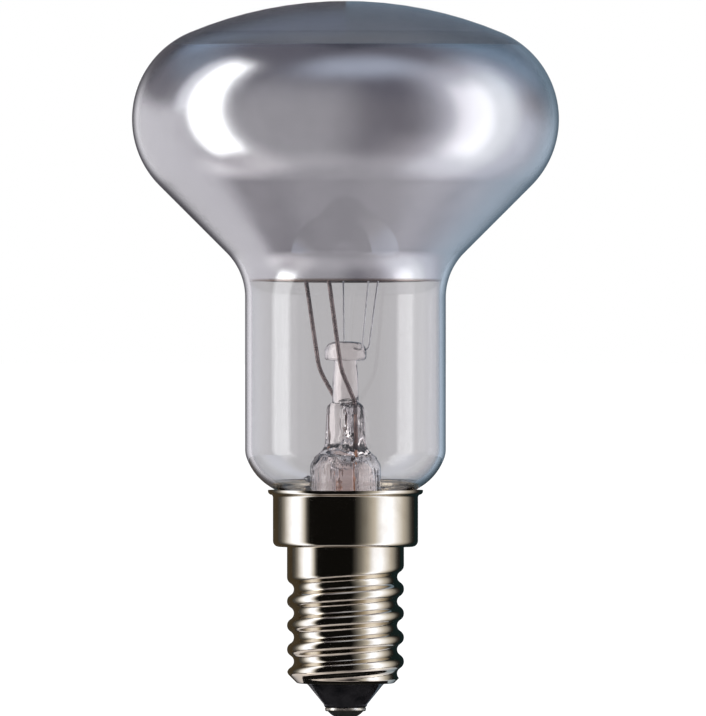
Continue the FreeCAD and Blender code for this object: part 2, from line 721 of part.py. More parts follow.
def make_filament():
    """The tungsten coil, as the smooth cord that its turns fill, held in an open ring by its supports."""
    body = new_body("filament")
    corners = []
    for index in range(5):
        angle = "-90 + %.1f * Worked.ring_step" % (index - 0.5)
        corners.append(("Worked.ring_radius * cos(%s)" % angle, "Worked.ring_radius * sin(%s)" % angle))
    first_x, first_y = corners[0]
    corners[0] = (first_x + " - Sizes.filament_tail", first_y)
    last_x, last_y = corners[-1]
    turn = "3 * Worked.ring_step"
    corners[-1] = (
        "%s + Sizes.filament_tail * cos(%s)" % (last_x, turn),
        "%s + Sizes.filament_tail * sin(%s)" % (last_y, turn),
    )
    sweep_wire(
        body,
        "coil",
        "YZ_Plane",
        (corners[0][1], "Worked.filament_z", corners[0][0]),
        corners,
        ["Sizes.filament_corner_radius"] * 3,
        "Sizes.filament_diameter",
        "XY_Plane",
        "Worked.filament_z",
    )
    place(body, "Worked.ring_start + Worked.ring_step / 2 + 90")
    return body


def make_inner_lead(label, side, ring_angle, leg_angle):
    """A nickel wire from the pinch to one end of the coil, which a sleeve at its own end holds."""
    body = new_body(label)
    start_x = "%sWorked.lead_offset * cos(Sizes.pinch_azimuth)" % side
    start_y = "%sWorked.lead_offset * sin(Sizes.pinch_azimuth)" % side
    reach_x = "(Worked.ring_radius * cos(%s) - (%s))" % (ring_angle, start_x)
    reach_y = "(Worked.ring_radius * sin(%s) - (%s))" % (ring_angle, start_y)
    run = "sqrt(pow(%s; 2) + pow(%s; 2))" % (reach_x, reach_y)
    azimuth = "(atan2(%s; %s) / 1 deg)" % (reach_y, reach_x)
    sweep_wire(
        body,
        "lead",
        "XY_Plane",
        ("0", "0", "Worked.upper_weld_z"),
        [
            ("0", "Worked.upper_weld_z"),
            ("0", "Worked.lead_exit_z"),
            ("Sizes.knee_run", "Worked.knee_z"),
            (run, "Worked.filament_z"),
        ],
        ["Sizes.lead_bend_radius", "Sizes.knee_bend_radius"],
        "Sizes.inner_lead_diameter",
    )
    bore = "(Sizes.filament_diameter + 2 * Sizes.bond_gap)"
    for name, kind, diameter, length in (
        ("sleeve", "PartDesign::Pad", "Sizes.clamp_diameter", "Sizes.clamp_length"),
        ("sleeve_bore", "PartDesign::Pocket", bore, "Sizes.clamp_length + Sizes.cut_margin"),
    ):
        circle = new_sketch(body, name + "_circle", "XZ_Plane")
        circle.AttachmentOffset = FreeCAD.Placement(
            FreeCAD.Vector(value(run), value("Worked.filament_z"), 0),
            FreeCAD.Rotation(FreeCAD.Vector(0, 1, 0), value("%s + 90 - (%s)" % (leg_angle, azimuth))),
        )
        circle.setExpression("AttachmentOffset.Base.x", run)
        circle.setExpression("AttachmentOffset.Base.y", "Worked.filament_z")
        circle.setExpression("AttachmentOffset.Rotation.Angle", "%s + 90 - (%s)" % (leg_angle, azimuth))
        draw_circle(circle, "0", "0", diameter + " / 2")
        feature = body.newObject(kind, name)
        feature.Profile = circle
        feature.Midplane = True
        feature.setExpression("Length", length)
        document.recompute()
    place(body, azimuth, start_x, start_y)
    return body


def make_seal_wire(label, side):
    """The copper-clad wire that crosses the pinch gas-tight, welded to a lead at each end."""
    body = new_body(label)
    circle = new_sketch(body, "wire_circle", "XY_Plane", "Worked.lower_weld_z")
    draw_circle(circle, "0", "0", "Sizes.seal_wire_diameter / 2")
    wire = body.newObject("PartDesign::Pad", "wire")
    wire.Profile = circle
    wire.setExpression("Length", "Worked.upper_weld_z - Worked.lower_weld_z")
    document.recompute()
    place(
        body,
        "Sizes.pinch_azimuth",
        "%sWorked.lead_offset * cos(Sizes.pinch_azimuth)" % side,
        "%sWorked.lead_offset * sin(Sizes.pinch_azimuth)" % side,
    )
    return body


def make_outer_lead_centre():
    """The copper lead that comes down the stem, jogs to the axis and ends in the solder of the tip."""
    body = new_body("outer_lead_centre")
    sweep_wire(
        body,
        "lead",
        "XY_Plane",
        ("Worked.lead_offset", "0", "Worked.lower_weld_z"),
        [
            ("Worked.lead_offset", "Worked.lower_weld_z"),
            ("Worked.lead_offset", "Sizes.centre_lead_jog_top"),
            ("0", "Sizes.centre_lead_jog_low"),
            ("0", "Sizes.centre_lead_end"),
        ],
        ["Sizes.centre_lead_bend_radius"] * 2,
        "Sizes.outer_lead_diameter",
    )
    place(body, "Sizes.pinch_azimuth")
    return body


def make_outer_lead_side():
    """The copper lead that leaves under the seal, rises inside the skirt and crosses its rim."""
    body = new_body("outer_lead_side")
    sweep_wire(
        body,
        "lead",
        "XY_Plane",
        ("Worked.lead_offset", "0", "Worked.lower_weld_z"),
        [
            ("Worked.lead_offset", "Worked.lower_weld_z"),
            ("Worked.lead_offset", "Worked.side_lead_z"),
            ("Sizes.side_lead_reach", "Worked.side_lead_z"),
            ("Sizes.side_lead_reach", "Worked.side_lead_turn_z"),
            ("Worked.side_lead_end_radius", "Worked.side_lead_end_z"),
        ],
        ["Sizes.side_lead_bend_radius"] * 3,
        "Sizes.outer_lead_diameter",
    )
    place(body, "Sizes.pinch_azimuth + 180")
    return body


def make_support_wire(number):
    """A molybdenum wire rooted in the button, bent up to the coil and hooked over it."""
    body = new_body("support_wire_%d" % number)
    sweep_wire(
        body,
        "wire",
        "YZ_Plane",
        ("0", "Worked.support_z", "Sizes.support_root"),
        [
            ("Sizes.support_root", "Worked.support_z"),
            ("Sizes.support_run", "Worked.support_z"),
            ("Worked.ring_corner - Worked.eye_half", "Worked.filament_z + Worked.eye_half"),
            ("Worked.ring_corner + Worked.eye_half", "Worked.filament_z + Worked.eye_half"),
            ("Worked.ring_corner + Worked.eye_half", "Worked.filament_z - Sizes.eye_drop"),
        ],
        ["Sizes.support_bend_radius", "Sizes.eye_bend_radius", "Sizes.eye_bend_radius"],
        "Sizes.support_diameter",
    )
    place(body, "Worked.ring_start + %d * Worked.ring_step" % number)
    return body


def make_cap_cement():
    """The baked cement between the glass tail and the skirt, with a hole for the side lead."""
    body = new_body("cap_cement")
    inner = "Worked.seal_radius + Sizes.bond_gap"
    outer = "Worked.skirt_radius - Sizes.shell_wall"
    revolve(
        body,
        "cement_ring",
        [
            (outer, "Worked.cement_low_z"),
            (outer, "Worked.cement_top_z"),
            ("Worked.cement_top_radius", "Worked.cement_top_z"),
            (inner, "Worked.seal_corner_z", "Worked.cement_round", 1),
            (inner, "Worked.cement_low_z"),
        ],
    )
    pocket(
        body,
        "side_lead_hole",
        "Worked.cement_low_z - Sizes.cut_margin",
        "Worked.cement_top_z + Sizes.cut_margin",
        [("Sizes.side_lead_reach", "0", "Sizes.outer_lead_diameter / 2 + Sizes.bond_gap")],
    )
    place(body, "Sizes.pinch_azimuth + 180")
    return body


def thread_corners(inset, middle):
    """The round-bottomed cut of the thread about a middle height: root arc, two crest arcs and an open top.

    Moved inwards by the sheet's thickness, it shapes the inside of the same pressed metal.
    """
    shift = "(%s)" % inset
    half = "Worked.thread_half_width"
    outside = "Worked.crest_radius - %s + Sizes.thread_overcut" % shift
    bulge = "sqrt(pow(Sizes.thread_round - %s; 2) - pow(Sizes.thread_land / 2; 2))" % shift
    brim = "Worked.crest_centre + " + bulge
    reach = "Worked.round_centre - (Sizes.thread_round + %s) * cos(Worked.thread_turn)" % shift
    rise = "(Sizes.thread_round + %s) * sin(Worked.thread_turn)" % shift
    crest = "Sizes.thread_round - " + shift
    root = "Sizes.thread_round + " + shift
    return [
        (outside, "%s + %s" % (middle, half)),
        (outside, "%s - %s" % (middle, half)),
        (brim, "%s - %s" % (middle, half)),
        (reach, "%s - %s" % (middle, rise), crest, 1),
        (reach, "%s + %s" % (middle, rise), root, -1),
        (brim, "%s + %s" % (middle, half), crest, 1),
    ]


def cut_thread(body, inset):
    """Cuts the screw thread into a blank, then lets the cut rise out of the metal over part of a turn."""
    end_z = "Worked.groove_z + Worked.groove_height"
    for name, middle, height, spread in (
        ("thread", "Worked.groove_z", "Worked.groove_height", "0"),
        ("thread_runout", end_z, "Worked.runout_height", "Worked.runout_angle"),
    ):
        sketch = new_sketch(body, name + "_outline", "XZ_Plane")
        draw_outline(sketch, thread_corners(inset, middle))
        helix = body.newObject("PartDesign::SubtractiveHelix", name)
        helix.Profile = sketch
        helix.ReferenceAxis = (origin_part(body, "Z_Axis"), [""])
        helix.Mode = "pitch-height-angle"
        helix.setExpression("Pitch", "Sizes.thread_pitch")
        helix.setExpression("Height", height)
        helix.setExpression("Angle", spread)
        helix.LeftHanded = False
        helix.Reversed = False
        document.recompute()


def shell_corners(inset):
    """The plain outline of the pressed shell before its thread: foot, barrel, skirt and rolled rim."""
    shift = "(%s)" % inset
    foot = "(Sizes.shell_foot_radius - %s)" % shift
    barrel = "(Sizes.thread_round - %s)" % shift
    corner = "(Sizes.skirt_corner_radius - %s)" % shift
    flange = "(Sizes.flange_round + %s)" % shift
    across = "%s * sin(Sizes.shell_foot_angle)"
    down = "%s * cos(Sizes.shell_foot_angle)"
    return [
        ("Worked.foot_centre", "Worked.shell_z + " + shift),
        ("Worked.foot_centre + " + across % foot, "Worked.foot_z - " + down % foot, foot, 1),
        ("Worked.crest_centre + " + across % barrel, "Worked.barrel_z - " + down % barrel),
        ("Worked.crest_radius - " + shift, "Worked.barrel_z", barrel, 1),
        ("Worked.crest_radius - " + shift, "Worked.floor_z + " + shift),
        ("Worked.skirt_radius - Sizes.skirt_corner_radius", "Worked.floor_z + " + shift),
        ("Worked.skirt_radius - " + shift, "Worked.floor_z + Sizes.skirt_corner_radius", corner, 1),
        ("Worked.skirt_radius - " + shift, "Worked.flange_low_z"),
        (
            "Worked.skirt_radius + Sizes.flange_round - %s * cos(Sizes.flange_turn)" % flange,
            "Worked.flange_low_z + %s * sin(Sizes.flange_turn)" % flange,
            flange,
            -1,
        ),
        ("Worked.rim_radius - " + shift, "Worked.flange_top_z", "Worked.flange_edge - " + shift, 1),
        ("Worked.rim_radius - " + shift, "Worked.rim_z"),
    ]


def make_cap_shell():
    """The drawn shell of one sheet: a curled-in foot, a rolled thread, a stepped skirt and a rolled rim."""
    outside = new_body("shell_outside")
    revolve(outside, "blank", shell_corners("0") + [("0", "Worked.rim_z"), ("0", "Worked.shell_z")])
    cut_thread(outside, "0")
    inside = new_body("shell_inside")
    revolve(
        inside,
        "hollow",
        shell_corners("Sizes.shell_wall")
        + [
            ("Worked.rim_inner", "Worked.rim_z + Sizes.cut_margin"),
            ("0", "Worked.rim_z + Sizes.cut_margin"),
            ("0", "Worked.shell_z - Sizes.cut_margin"),
            ("Sizes.lip_diameter / 2", "Worked.shell_z - Sizes.cut_margin"),
            ("Sizes.lip_diameter / 2", "Worked.shell_z + Sizes.shell_wall"),
        ],
    )
    cut_thread(inside, "Sizes.shell_wall")
    shell = document.addObject("Part::Cut", "cap_shell")
    shell.Label = "cap_shell"
    shell.Base = outside
    shell.Tool = inside
    document.recompute()
    return shell


def make_cap_insulator():
    """The black glass plug: a cone outside the shell, a seat on its lip and a shallow cup inside."""
    body = new_body("cap_insulator")
    neck = "Sizes.lip_diameter / 2 - Sizes.insulator_gap"
    seat = "Worked.foot_radius - Sizes.shell_wall - Sizes.insulator_gap"
    seat_z = "Worked.shell_z + Sizes.shell_wall"
    top_z = seat_z + " + Sizes.insulator_seat_height"
    cup_z = top_z + " - Sizes.insulator_cup_depth"
    end = "Sizes.insulator_end_radius"
    revolve(
        body,
        "plug",
        [
            ("Sizes.plate_hole_diameter / 2", "Worked.insulator_z"),
            ("Sizes.insulator_end_diameter / 2 - " + end, "Worked.insulator_z"),
            ("Sizes.insulator_end_diameter / 2", "Worked.insulator_z + " + end, end, 1),
            ("Sizes.insulator_base_diameter / 2", "Worked.shell_z - Sizes.insulator_gap"),
            (neck, "Worked.shell_z"),
            (neck, seat_z),
            (seat + " - Sizes.insulator_chamfer", seat_z),
            (seat, seat_z + " + Sizes.insulator_chamfer"),
            (seat, top_z),
            ("Sizes.insulator_cup_diameter / 2", top_z),
            ("Sizes.insulator_cup_diameter / 2 - Sizes.insulator_cup_draft", cup_z),
            ("Sizes.plate_hole_diameter / 2", cup_z),
        ],
    )
    return body


def make_contact_plate():
    """The round brass plate on the end of the insulator, with a hole for the lead."""
    body = new_body("contact_plate")
    rim = "Sizes.plate_diameter / 2"
    edge = "Sizes.plate_edge_radius"
    revolve(
        body,
        "plate",
        [
            ("Sizes.plate_hole_diameter / 2", "Worked.plate_z"),
            (rim + " - " + edge, "Worked.plate_z"),
            (rim, "Worked.plate_z + " + edge, edge, 1),
            (rim, "Worked.insulator_z"),
            ("Sizes.plate_hole_diameter / 2", "Worked.insulator_z"),
        ],
    )
    return body


def make_tip_solder():
    """The solder dome of the centre contact, which fills the plate's hole and holds the end of the lead."""
    body = new_body("tip_solder")
    bore = "Sizes.outer_lead_diameter / 2 + Sizes.bond_gap"
    revolve(
        body,
        "dome",
        [
            ("0", "0"),
            ("Sizes.tip_diameter / 2", "Worked.plate_z", "Worked.solder_dome", 1),
            ("Sizes.plate_hole_diameter / 2", "Worked.plate_z"),
            ("Sizes.plate_hole_diameter / 2", "Worked.solder_top_z"),
            (bore, "Worked.solder_top_z"),
            (bore, "Sizes.centre_lead_end"),
            ("0", "Sizes.centre_lead_end"),
        ],
    )
    return body


def make_side_solder(shell, envelope, lead):
    """The drop of solder on the rim that joins the side lead to the shell, shaped by what it wets."""
    drop = document.addObject("Part::Sphere", "solder_drop")
    drop.setExpression("Radius", "Sizes.side_solder_diameter / 2")
    azimuth = "(Sizes.pinch_azimuth + 180)"
    centre = (
        "Worked.rim_radius * cos(%s)" % azimuth,
        "Worked.rim_radius * sin(%s)" % azimuth,
        "Worked.rim_z",
    )
    drop.Placement.Base = FreeCAD.Vector(*[value(formula) for formula in centre])
    for axis, formula in zip("xyz", centre):
        drop.setExpression("Placement.Base." + axis, formula)
    wetted = document.addObject("Part::MultiFuse", "wetted_pieces")
    wetted.Shapes = [shell, envelope, lead]
    solder = document.addObject("Part::Cut", "side_solder")
    solder.Label = "side_solder"
    solder.Base = drop
    solder.Tool = wetted
    document.recompute()
    return solder


glass_envelope = make_glass_envelope()
cap_shell = make_cap_shell()
outer_lead_side = make_outer_lead_side()
pieces = [
    glass_envelope,
    make_mirror_film(),
    make_stem_press(),
    make_exhaust_tube(),
    make_glass_arbor(),
    make_filament(),
    make_inner_lead(
        "inner_lead_front",
        "",
        "Worked.ring_start",
        "Worked.ring_start + Worked.ring_step / 2 + 90",
    ),
    make_inner_lead(
        "inner_lead_rear",
        "-",
        "(Worked.ring_start + 4 * Worked.ring_step)",
        "Worked.ring_start + 3.5 * Worked.ring_step + 90",
    ),
    make_seal_wire("seal_wire_front", ""),
    make_seal_wire("seal_wire_rear", "-"),
    make_outer_lead_centre(),
    outer_lead_side,
    make_support_wire(1),
    make_support_wire(2),
    make_support_wire(3),
    make_cap_cement(),
    cap_shell,
    make_cap_insulator(),
    make_contact_plate(),
    make_tip_solder(),
    make_side_solder(cap_shell, glass_envelope, outer_lead_side),
]

document.recompute()
faults = [thing.Name for thing in document.Objects if "Invalid" in thing.State or "Error" in thing.State]
faults += [piece.Label for piece in pieces if piece.Shape.isNull() or not piece.Shape.isValid()]
faults += [piece.Label for piece in pieces if len(piece.Shape.Solids) != 1]
if faults:
    raise RuntimeError("pieces that failed: " + ", ".join(faults))

os.makedirs("parts", exist_ok=True)
for piece in pieces:
    piece.Shape.exportStep("parts/%s.step" % piece.Label)
    print("%-20s %10.3f mm3" % (piece.Label, piece.Shape.Volume))
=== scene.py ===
# %% [markdown]
# # A reflector bulb, dressed for the camera
#
# The solids of the bulb are already built and come in model.glb. This lesson gives each of them its finished
# look: blown glass, a silvered lining, a rolled screw cap, wires and a wound coil. Every length is written in
# millimetres, as a lamp maker would, and becomes metres when a mesh is made.

# %% Open the imported solids
from math import asin, atan2, ceil, copysign, cos, degrees, pi, radians, sin, sqrt, tan

import bmesh
import bpy
from mathutils import Matrix, Vector


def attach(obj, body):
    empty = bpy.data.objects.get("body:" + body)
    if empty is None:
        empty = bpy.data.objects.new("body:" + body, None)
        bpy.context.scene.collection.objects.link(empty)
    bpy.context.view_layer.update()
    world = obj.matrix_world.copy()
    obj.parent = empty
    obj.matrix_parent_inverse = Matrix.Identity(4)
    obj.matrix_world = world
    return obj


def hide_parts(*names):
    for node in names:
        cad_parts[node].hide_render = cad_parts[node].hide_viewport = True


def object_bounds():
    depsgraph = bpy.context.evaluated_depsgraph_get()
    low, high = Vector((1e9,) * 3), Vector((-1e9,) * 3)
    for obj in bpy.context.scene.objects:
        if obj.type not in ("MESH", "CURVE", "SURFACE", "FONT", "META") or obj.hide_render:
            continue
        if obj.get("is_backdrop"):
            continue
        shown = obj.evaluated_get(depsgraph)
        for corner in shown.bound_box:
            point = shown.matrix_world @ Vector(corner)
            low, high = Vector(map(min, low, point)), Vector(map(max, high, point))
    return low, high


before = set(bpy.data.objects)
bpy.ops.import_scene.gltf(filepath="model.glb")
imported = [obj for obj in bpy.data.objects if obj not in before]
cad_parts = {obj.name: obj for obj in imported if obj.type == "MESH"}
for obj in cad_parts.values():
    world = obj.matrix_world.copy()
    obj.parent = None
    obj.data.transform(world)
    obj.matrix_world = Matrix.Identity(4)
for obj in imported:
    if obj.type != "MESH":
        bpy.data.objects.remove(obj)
solid_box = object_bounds()
MM = 0.001
print("The solids reach from", solid_box[0], "to", solid_box[1])

# %% [markdown]
# ## Lines made of runs and arcs
#
# A glass blower's or a press tool's outline is a chain of straight runs and tangent arcs. So a
# small helper reads such a chain: a corner is (radius, height), or (radius, height, arc radius,
# side) where the way to it is an arc. Side 1 puts the centre on the left of the walk. Arcs are
# cut into short chords, which is all that a mesh can hold.


# %% Read a chain of runs and arcs
def outline(corners, step=6.0):
    """Points along a chain of corners, with a point for about every step degrees of arc."""
    points = [Vector(corners[0][:2])]
    for corner in corners[1:]:
        start = points[-1]
        end = Vector(corner[:2])
        if len(corner) == 4:
            radius, side = corner[2:]
            chord = end - start
            across = Vector((-chord.y, chord.x)).normalized() * side
            rise = sqrt(max(radius**2 - (chord.length / 2) ** 2, 0.0))
            centre = (start + end) / 2 + across * rise
            first = atan2(start.y - centre.y, start.x - centre.x)
            sweep = 2 * asin(min(chord.length / 2 / radius, 1.0)) * side
            count = max(2, ceil(abs(degrees(sweep)) / step))
            for index in range(1, count):
                angle = first + sweep * index / count
                points.append(centre + radius * Vector((cos(angle), sin(angle))))
        points.append(end)
    return points


# %% [markdown]
# ## From an outline to a mesh
#
# Glass is blown, and metal is drawn and spun, so most pieces here are turned shapes. The helper
# sweeps the outline once round the axis and closes it at the poles with single points. Faces are
# then made to look outwards and shaded smooth, except across real edges, which stay crisp.


# %% Make meshes and objects
def new_mesh(name, points, edges, faces):
    """A mesh in metres from points in millimetres."""
    mesh = bpy.data.meshes.new(name)
    mesh.from_pydata([Vector(point) * MM for point in points], edges, faces)
    return mesh


def new_object(name, data):
    """An object of the scene that holds a mesh, a lamp or a camera."""
    made = bpy.data.objects.new(name, data)
    bpy.context.scene.collection.objects.link(made)
    return made


def new_piece(name, points, faces, crisp=35.0):
    """An object with its points merged, facing outwards, smooth but for edges above crisp degrees."""
    mesh = new_mesh(name, points, [], faces)
    work = bmesh.new()
    work.from_mesh(mesh)
    bmesh.ops.remove_doubles(work, verts=work.verts, dist=1e-7)
    bmesh.ops.recalc_face_normals(work, faces=work.faces)
    work.to_mesh(mesh)
    work.free()
    mesh.shade_smooth()
    mesh.set_sharp_from_angle(angle=radians(crisp))
    return new_object(name, mesh)


# %% Turn an outline round the axis
def band(low, high):
    """Faces between two rings of point numbers, either of which may be a single pole."""
    faces = []
    count = max(len(low), len(high))
    for index in range(count):
        following = (index + 1) % count
        if len(low) == 1:
            faces.append((low[0], high[following], high[index]))
        elif len(high) == 1:
            faces.append((low[index], low[following], high[0]))
        else:
            faces.append((low[index], low[following], high[following], high[index]))
    return faces


def turned(name, points, around=144, closed=True, crisp=35.0):
    """Turns (radius, height) points once round the axis."""
    rings = []
    placed = []
    for radius, height in points:
        if radius < 1e-6:
            rings.append([len(placed)])
            placed.append((0, 0, height))
            continue
        rings.append(list(range(len(placed), len(placed) + around)))
        for index in range(around):
            angle = 2 * pi * index / around
            placed.append((radius * cos(angle), radius * sin(angle), height))
    faces = []
    for low, high in zip(rings, rings[1:] + (rings[:1] if closed else [])):
        if len(low) + len(high) > 2:
            faces.extend(band(low, high))
    return new_piece(name, placed, faces, crisp)


# %% [markdown]
# ## Wires
#
# A wire is a circle carried along a path. Blender's curves could bevel it, but a lead is bent on a
# pin, so its bends are true arcs between straight runs. The helper rounds the corners of a path,
# then carries a ring along it without twist and closes both ends with a small dome, as a cut wire
# has after cleaning.


# %% Bend a path
def bent(corners, radii, step=9.0):
    """Points along a path in space whose inner corners are rounded with the given radii."""
    points = [Vector(corners[0])]
    for before, corner, after, radius in zip(corners, corners[1:], corners[2:], radii):
        corner = Vector(corner)
        back = (Vector(before) - corner).normalized()
        ahead = (Vector(after) - corner).normalized()
        half = back.angle(ahead) / 2
        trim = radius / tan(half)
        centre = corner + (back + ahead).normalized() * radius / sin(half)
        first = corner + back * trim - centre
        last = corner + ahead * trim - centre
        count = max(3, ceil(degrees(first.angle(last)) / step))
        for index in range(count + 1):
            points.append(centre + radius * first.slerp(last, index / count).normalized())
    points.append(Vector(corners[-1]))
    return points


# %% Sweep a wire along its path
def domed(station, way):
    """Rings and a tip that close a wire over its end station; way is 1 or -1 along the wire."""
    point, heading, side, radius = station
    rise = heading * radius * 0.5 * way
    caps = []
    for turn in map(radians, (25, 50, 75)):
        caps.append((point + rise * sin(turn), heading, side, radius * cos(turn)))
    return caps, point + rise


def swept(name, path, radius, sides=14):
    """A round wire along a path, with domed ends."""
    path = [Vector(point) for point in path]
    heading = (path[1] - path[0]).normalized()
    side = heading.orthogonal().normalized()
    stations = []
    for index, point in enumerate(path):
        ahead = path[min(index + 1, len(path) - 1)] - path[max(index - 1, 0)]
        turn = heading.rotation_difference(ahead.normalized())
        heading = ahead.normalized()
        side = (turn @ side).normalized()
        stations.append((point, heading, side, radius))
    head, first_tip = domed(stations[0], -1)
    tail, last_tip = domed(stations[-1], 1)
    placed = [first_tip]
    rings = [[0]]
    for point, along, across, reach in head[::-1] + stations + tail:
        other = along.cross(across)
        rings.append(list(range(len(placed), len(placed) + sides)))
        for index in range(sides):
            angle = 2 * pi * index / sides
            placed.append(point + reach * (across * cos(angle) + other * sin(angle)))
    rings.append([len(placed)])
    placed.append(last_tip)
    faces = []
    for low, high in zip(rings, rings[1:]):
        faces.extend(band(low, high))
    return new_piece(name, placed, faces, 60.0)


# %% [markdown]
# ## Finishes as node trees
#
# Each finish starts from a Principled shader. What is the same all over is set on its own socket;
# what varies comes from noise read in Object coordinates, so that the grain stays on the piece
# when the camera moves. The helpers below only save typing: they add a node and set its values,
# make noise of a given size, fit it between two limits or two colours, and join it to the shader.


# %% Add nodes and start a finish
def add_node(tree, kind, inputs=None, **settings):
    """A new node; settings are its properties, inputs its socket values or the sockets to join."""
    node = tree.nodes.new(kind)
    for key, setting in settings.items():
        setattr(node, key, setting)
    for key, given in (inputs or {}).items():
        if isinstance(given, bpy.types.NodeSocket):
            tree.links.new(given, node.inputs[key])
        else:
            node.inputs[key].default_value = given
    return node


def out(tree, kind, inputs=None, **settings):
    """The first output of a new node."""
    return add_node(tree, kind, inputs, **settings).outputs[0]


def new_finish(name, **values):
    """A material with one Principled shader; values are its socket settings, underscores for spaces."""
    material = bpy.data.materials.new(name)
    material.use_nodes = True
    shader = material.node_tree.nodes["Principled BSDF"]
    for key, given in values.items():
        shader.inputs[key.replace("_", " ")].default_value = given
    return material, material.node_tree, shader


# %% Make a pattern and let it drive a shader
def grain(tree, size, stretch=(1.0, 1.0, 1.0), detail=3.0, roughness=0.5):
    """Noise whose patches are about size millimetres across, stretched along the axes."""
    place = add_node(tree, "ShaderNodeTexCoord")
    scale = tuple(1.0 / (size * MM * factor) for factor in stretch)
    turn = add_node(tree, "ShaderNodeMapping", {"Vector": place.outputs["Object"], "Scale": scale})
    looks = {"Vector": turn.outputs[0], "Scale": 1.0, "Detail": detail, "Roughness": roughness}
    return add_node(tree, "ShaderNodeTexNoise", looks).outputs["Fac"]


def between(tree, fac, low, high, begin=0.3, end=0.7):
    """Maps a pattern to the span from low to high."""
    span = {"Value": fac, "From Min": begin, "From Max": end, "To Min": low, "To Max": high}
    return out(tree, "ShaderNodeMapRange", span)


def shades(tree, fac, stops):
    """Colours along a pattern; stops are (position, colour)."""
    ramp = add_node(tree, "ShaderNodeValToRGB", {"Fac": fac})
    points = ramp.color_ramp.elements
    while len(points) < len(stops):
        points.new(0.5)
    for point, (position, colour) in zip(points, stops):
        point.position = position
        point.color = tuple(colour) + (1.0,)
    return ramp.outputs["Color"]


def drive(tree, shader, pattern, gloss=None, colours=None):
    """Lets a pattern set a shader's roughness, between two limits, and its colour, by stops."""
    if gloss:
        tree.links.new(between(tree, pattern, *gloss), shader.inputs["Roughness"])
    if colours:
        tree.links.new(shades(tree, pattern, colours), shader.inputs["Base Color"])


def relief(tree, shader, height, depth, strength=1.0):
    """Raises a pattern as bumps of depth millimetres."""
    bumps = {"Height": height, "Distance": depth * MM, "Strength": strength}
    tree.links.new(out(tree, "ShaderNodeBump", bumps), shader.inputs["Normal"])


# %% [markdown]
# ## Glass
#
# The envelope is blown soda-lime glass: clear, with very slow waves left from the mould. Its face
# is etched on the inside, which scatters light and hides the coil. The stem is lead glass, a
# little warmer, and its streaks are deeper, because it is pulled and pinched in the flame. All
# three are the same shader with a transmission weight of one; only the face gets a rough surface.


# %% Make the glasses
clear_glass, tree, shader = new_finish("clear_glass", Transmission_Weight=1.0, IOR=1.5)
shader.inputs["Base Color"].default_value = (0.93, 0.925, 0.92, 1.0)
waves = grain(tree, 9.0, detail=1.0)
drive(tree, shader, waves, (0.0, 0.02))
relief(tree, shader, waves, 0.02, 0.6)

etched_glass, tree, shader = new_finish("etched_glass", Transmission_Weight=1.0, IOR=1.5)
frost = [(0.3, (0.88, 0.93, 0.97)), (0.7, (0.94, 0.97, 1.0))]
drive(tree, shader, grain(tree, 8.0, detail=2.0), colours=frost)
etching = grain(tree, 0.12, detail=2.0)
drive(tree, shader, etching, (0.42, 0.58))
relief(tree, shader, etching, 0.02, 0.5)

stem_glass, tree, shader = new_finish("stem_glass", Transmission_Weight=1.0, IOR=1.54)
shader.inputs["Base Color"].default_value = (0.96, 0.9, 0.885, 1.0)
streaks = grain(tree, 1.2, (1.0, 1.0, 4.0), detail=2.0)
drive(tree, shader, streaks, (0.0, 0.03))
relief(tree, shader, streaks, 0.22, 0.9)
print("Made three glasses")

# %% [markdown]
# ## Silvering and metals
#
# The lining is aluminium vapour on the slightly rough inner wall, so it mirrors softly, and a narrow band at
# its foot is brown. The cap is nickel on brass: a warm grey metal with fine drawing lines round it, smeared
# fingerprints and darker soil. Plain metals for the wires differ in colour and gloss. For each one a noise
# decides where it is duller, because no handled metal reflects evenly.


# %% Make the metals
def object_place(tree):
    """The x, y and z of a point in Object coordinates."""
    place = add_node(tree, "ShaderNodeTexCoord").outputs["Object"]
    return add_node(tree, "ShaderNodeSeparateXYZ", {0: place}).outputs


# The lining is grey in slow clouds. Along its lowest edge it is brown, fading out by 51.75 mm up.
FOOT_BROWN = (0.2, 0.14, 0.11, 1.0)
silvering, tree, shader = new_finish("silvering", Metallic=1.0)
clouds = grain(tree, 6.0, detail=4.0)
silver = shades(tree, clouds, [(0.3, (0.64, 0.64, 0.655)), (0.7, (0.71, 0.71, 0.725))])
brown_band = between(tree, object_place(tree)[2], 1.0, 0.0, 51.45 * MM, 51.75 * MM)
foot = add_node(tree, "ShaderNodeMix", {0: brown_band, 6: silver, 7: FOOT_BROWN}, data_type="RGBA")
tree.links.new(foot.outputs[2], shader.inputs["Base Color"])
drive(tree, shader, clouds, (0.22, 0.27))
relief(tree, shader, grain(tree, 2.5, detail=2.0), 0.01, 0.15)


def plain_metal(name, dark, light, dull, glossy, size, stretch=(1.0, 1.0, 1.0), depth=0.01):
    """A metal whose colour and gloss drift between two limits."""
    material, tree, shader = new_finish(name, Metallic=1.0)
    patches = grain(tree, size, stretch, detail=4.0)
    drive(tree, shader, patches, (dull, glossy), [(0.3, dark), (0.7, light)])
    relief(tree, shader, grain(tree, size / 4, stretch, detail=3.0), depth, 0.5)
    return material


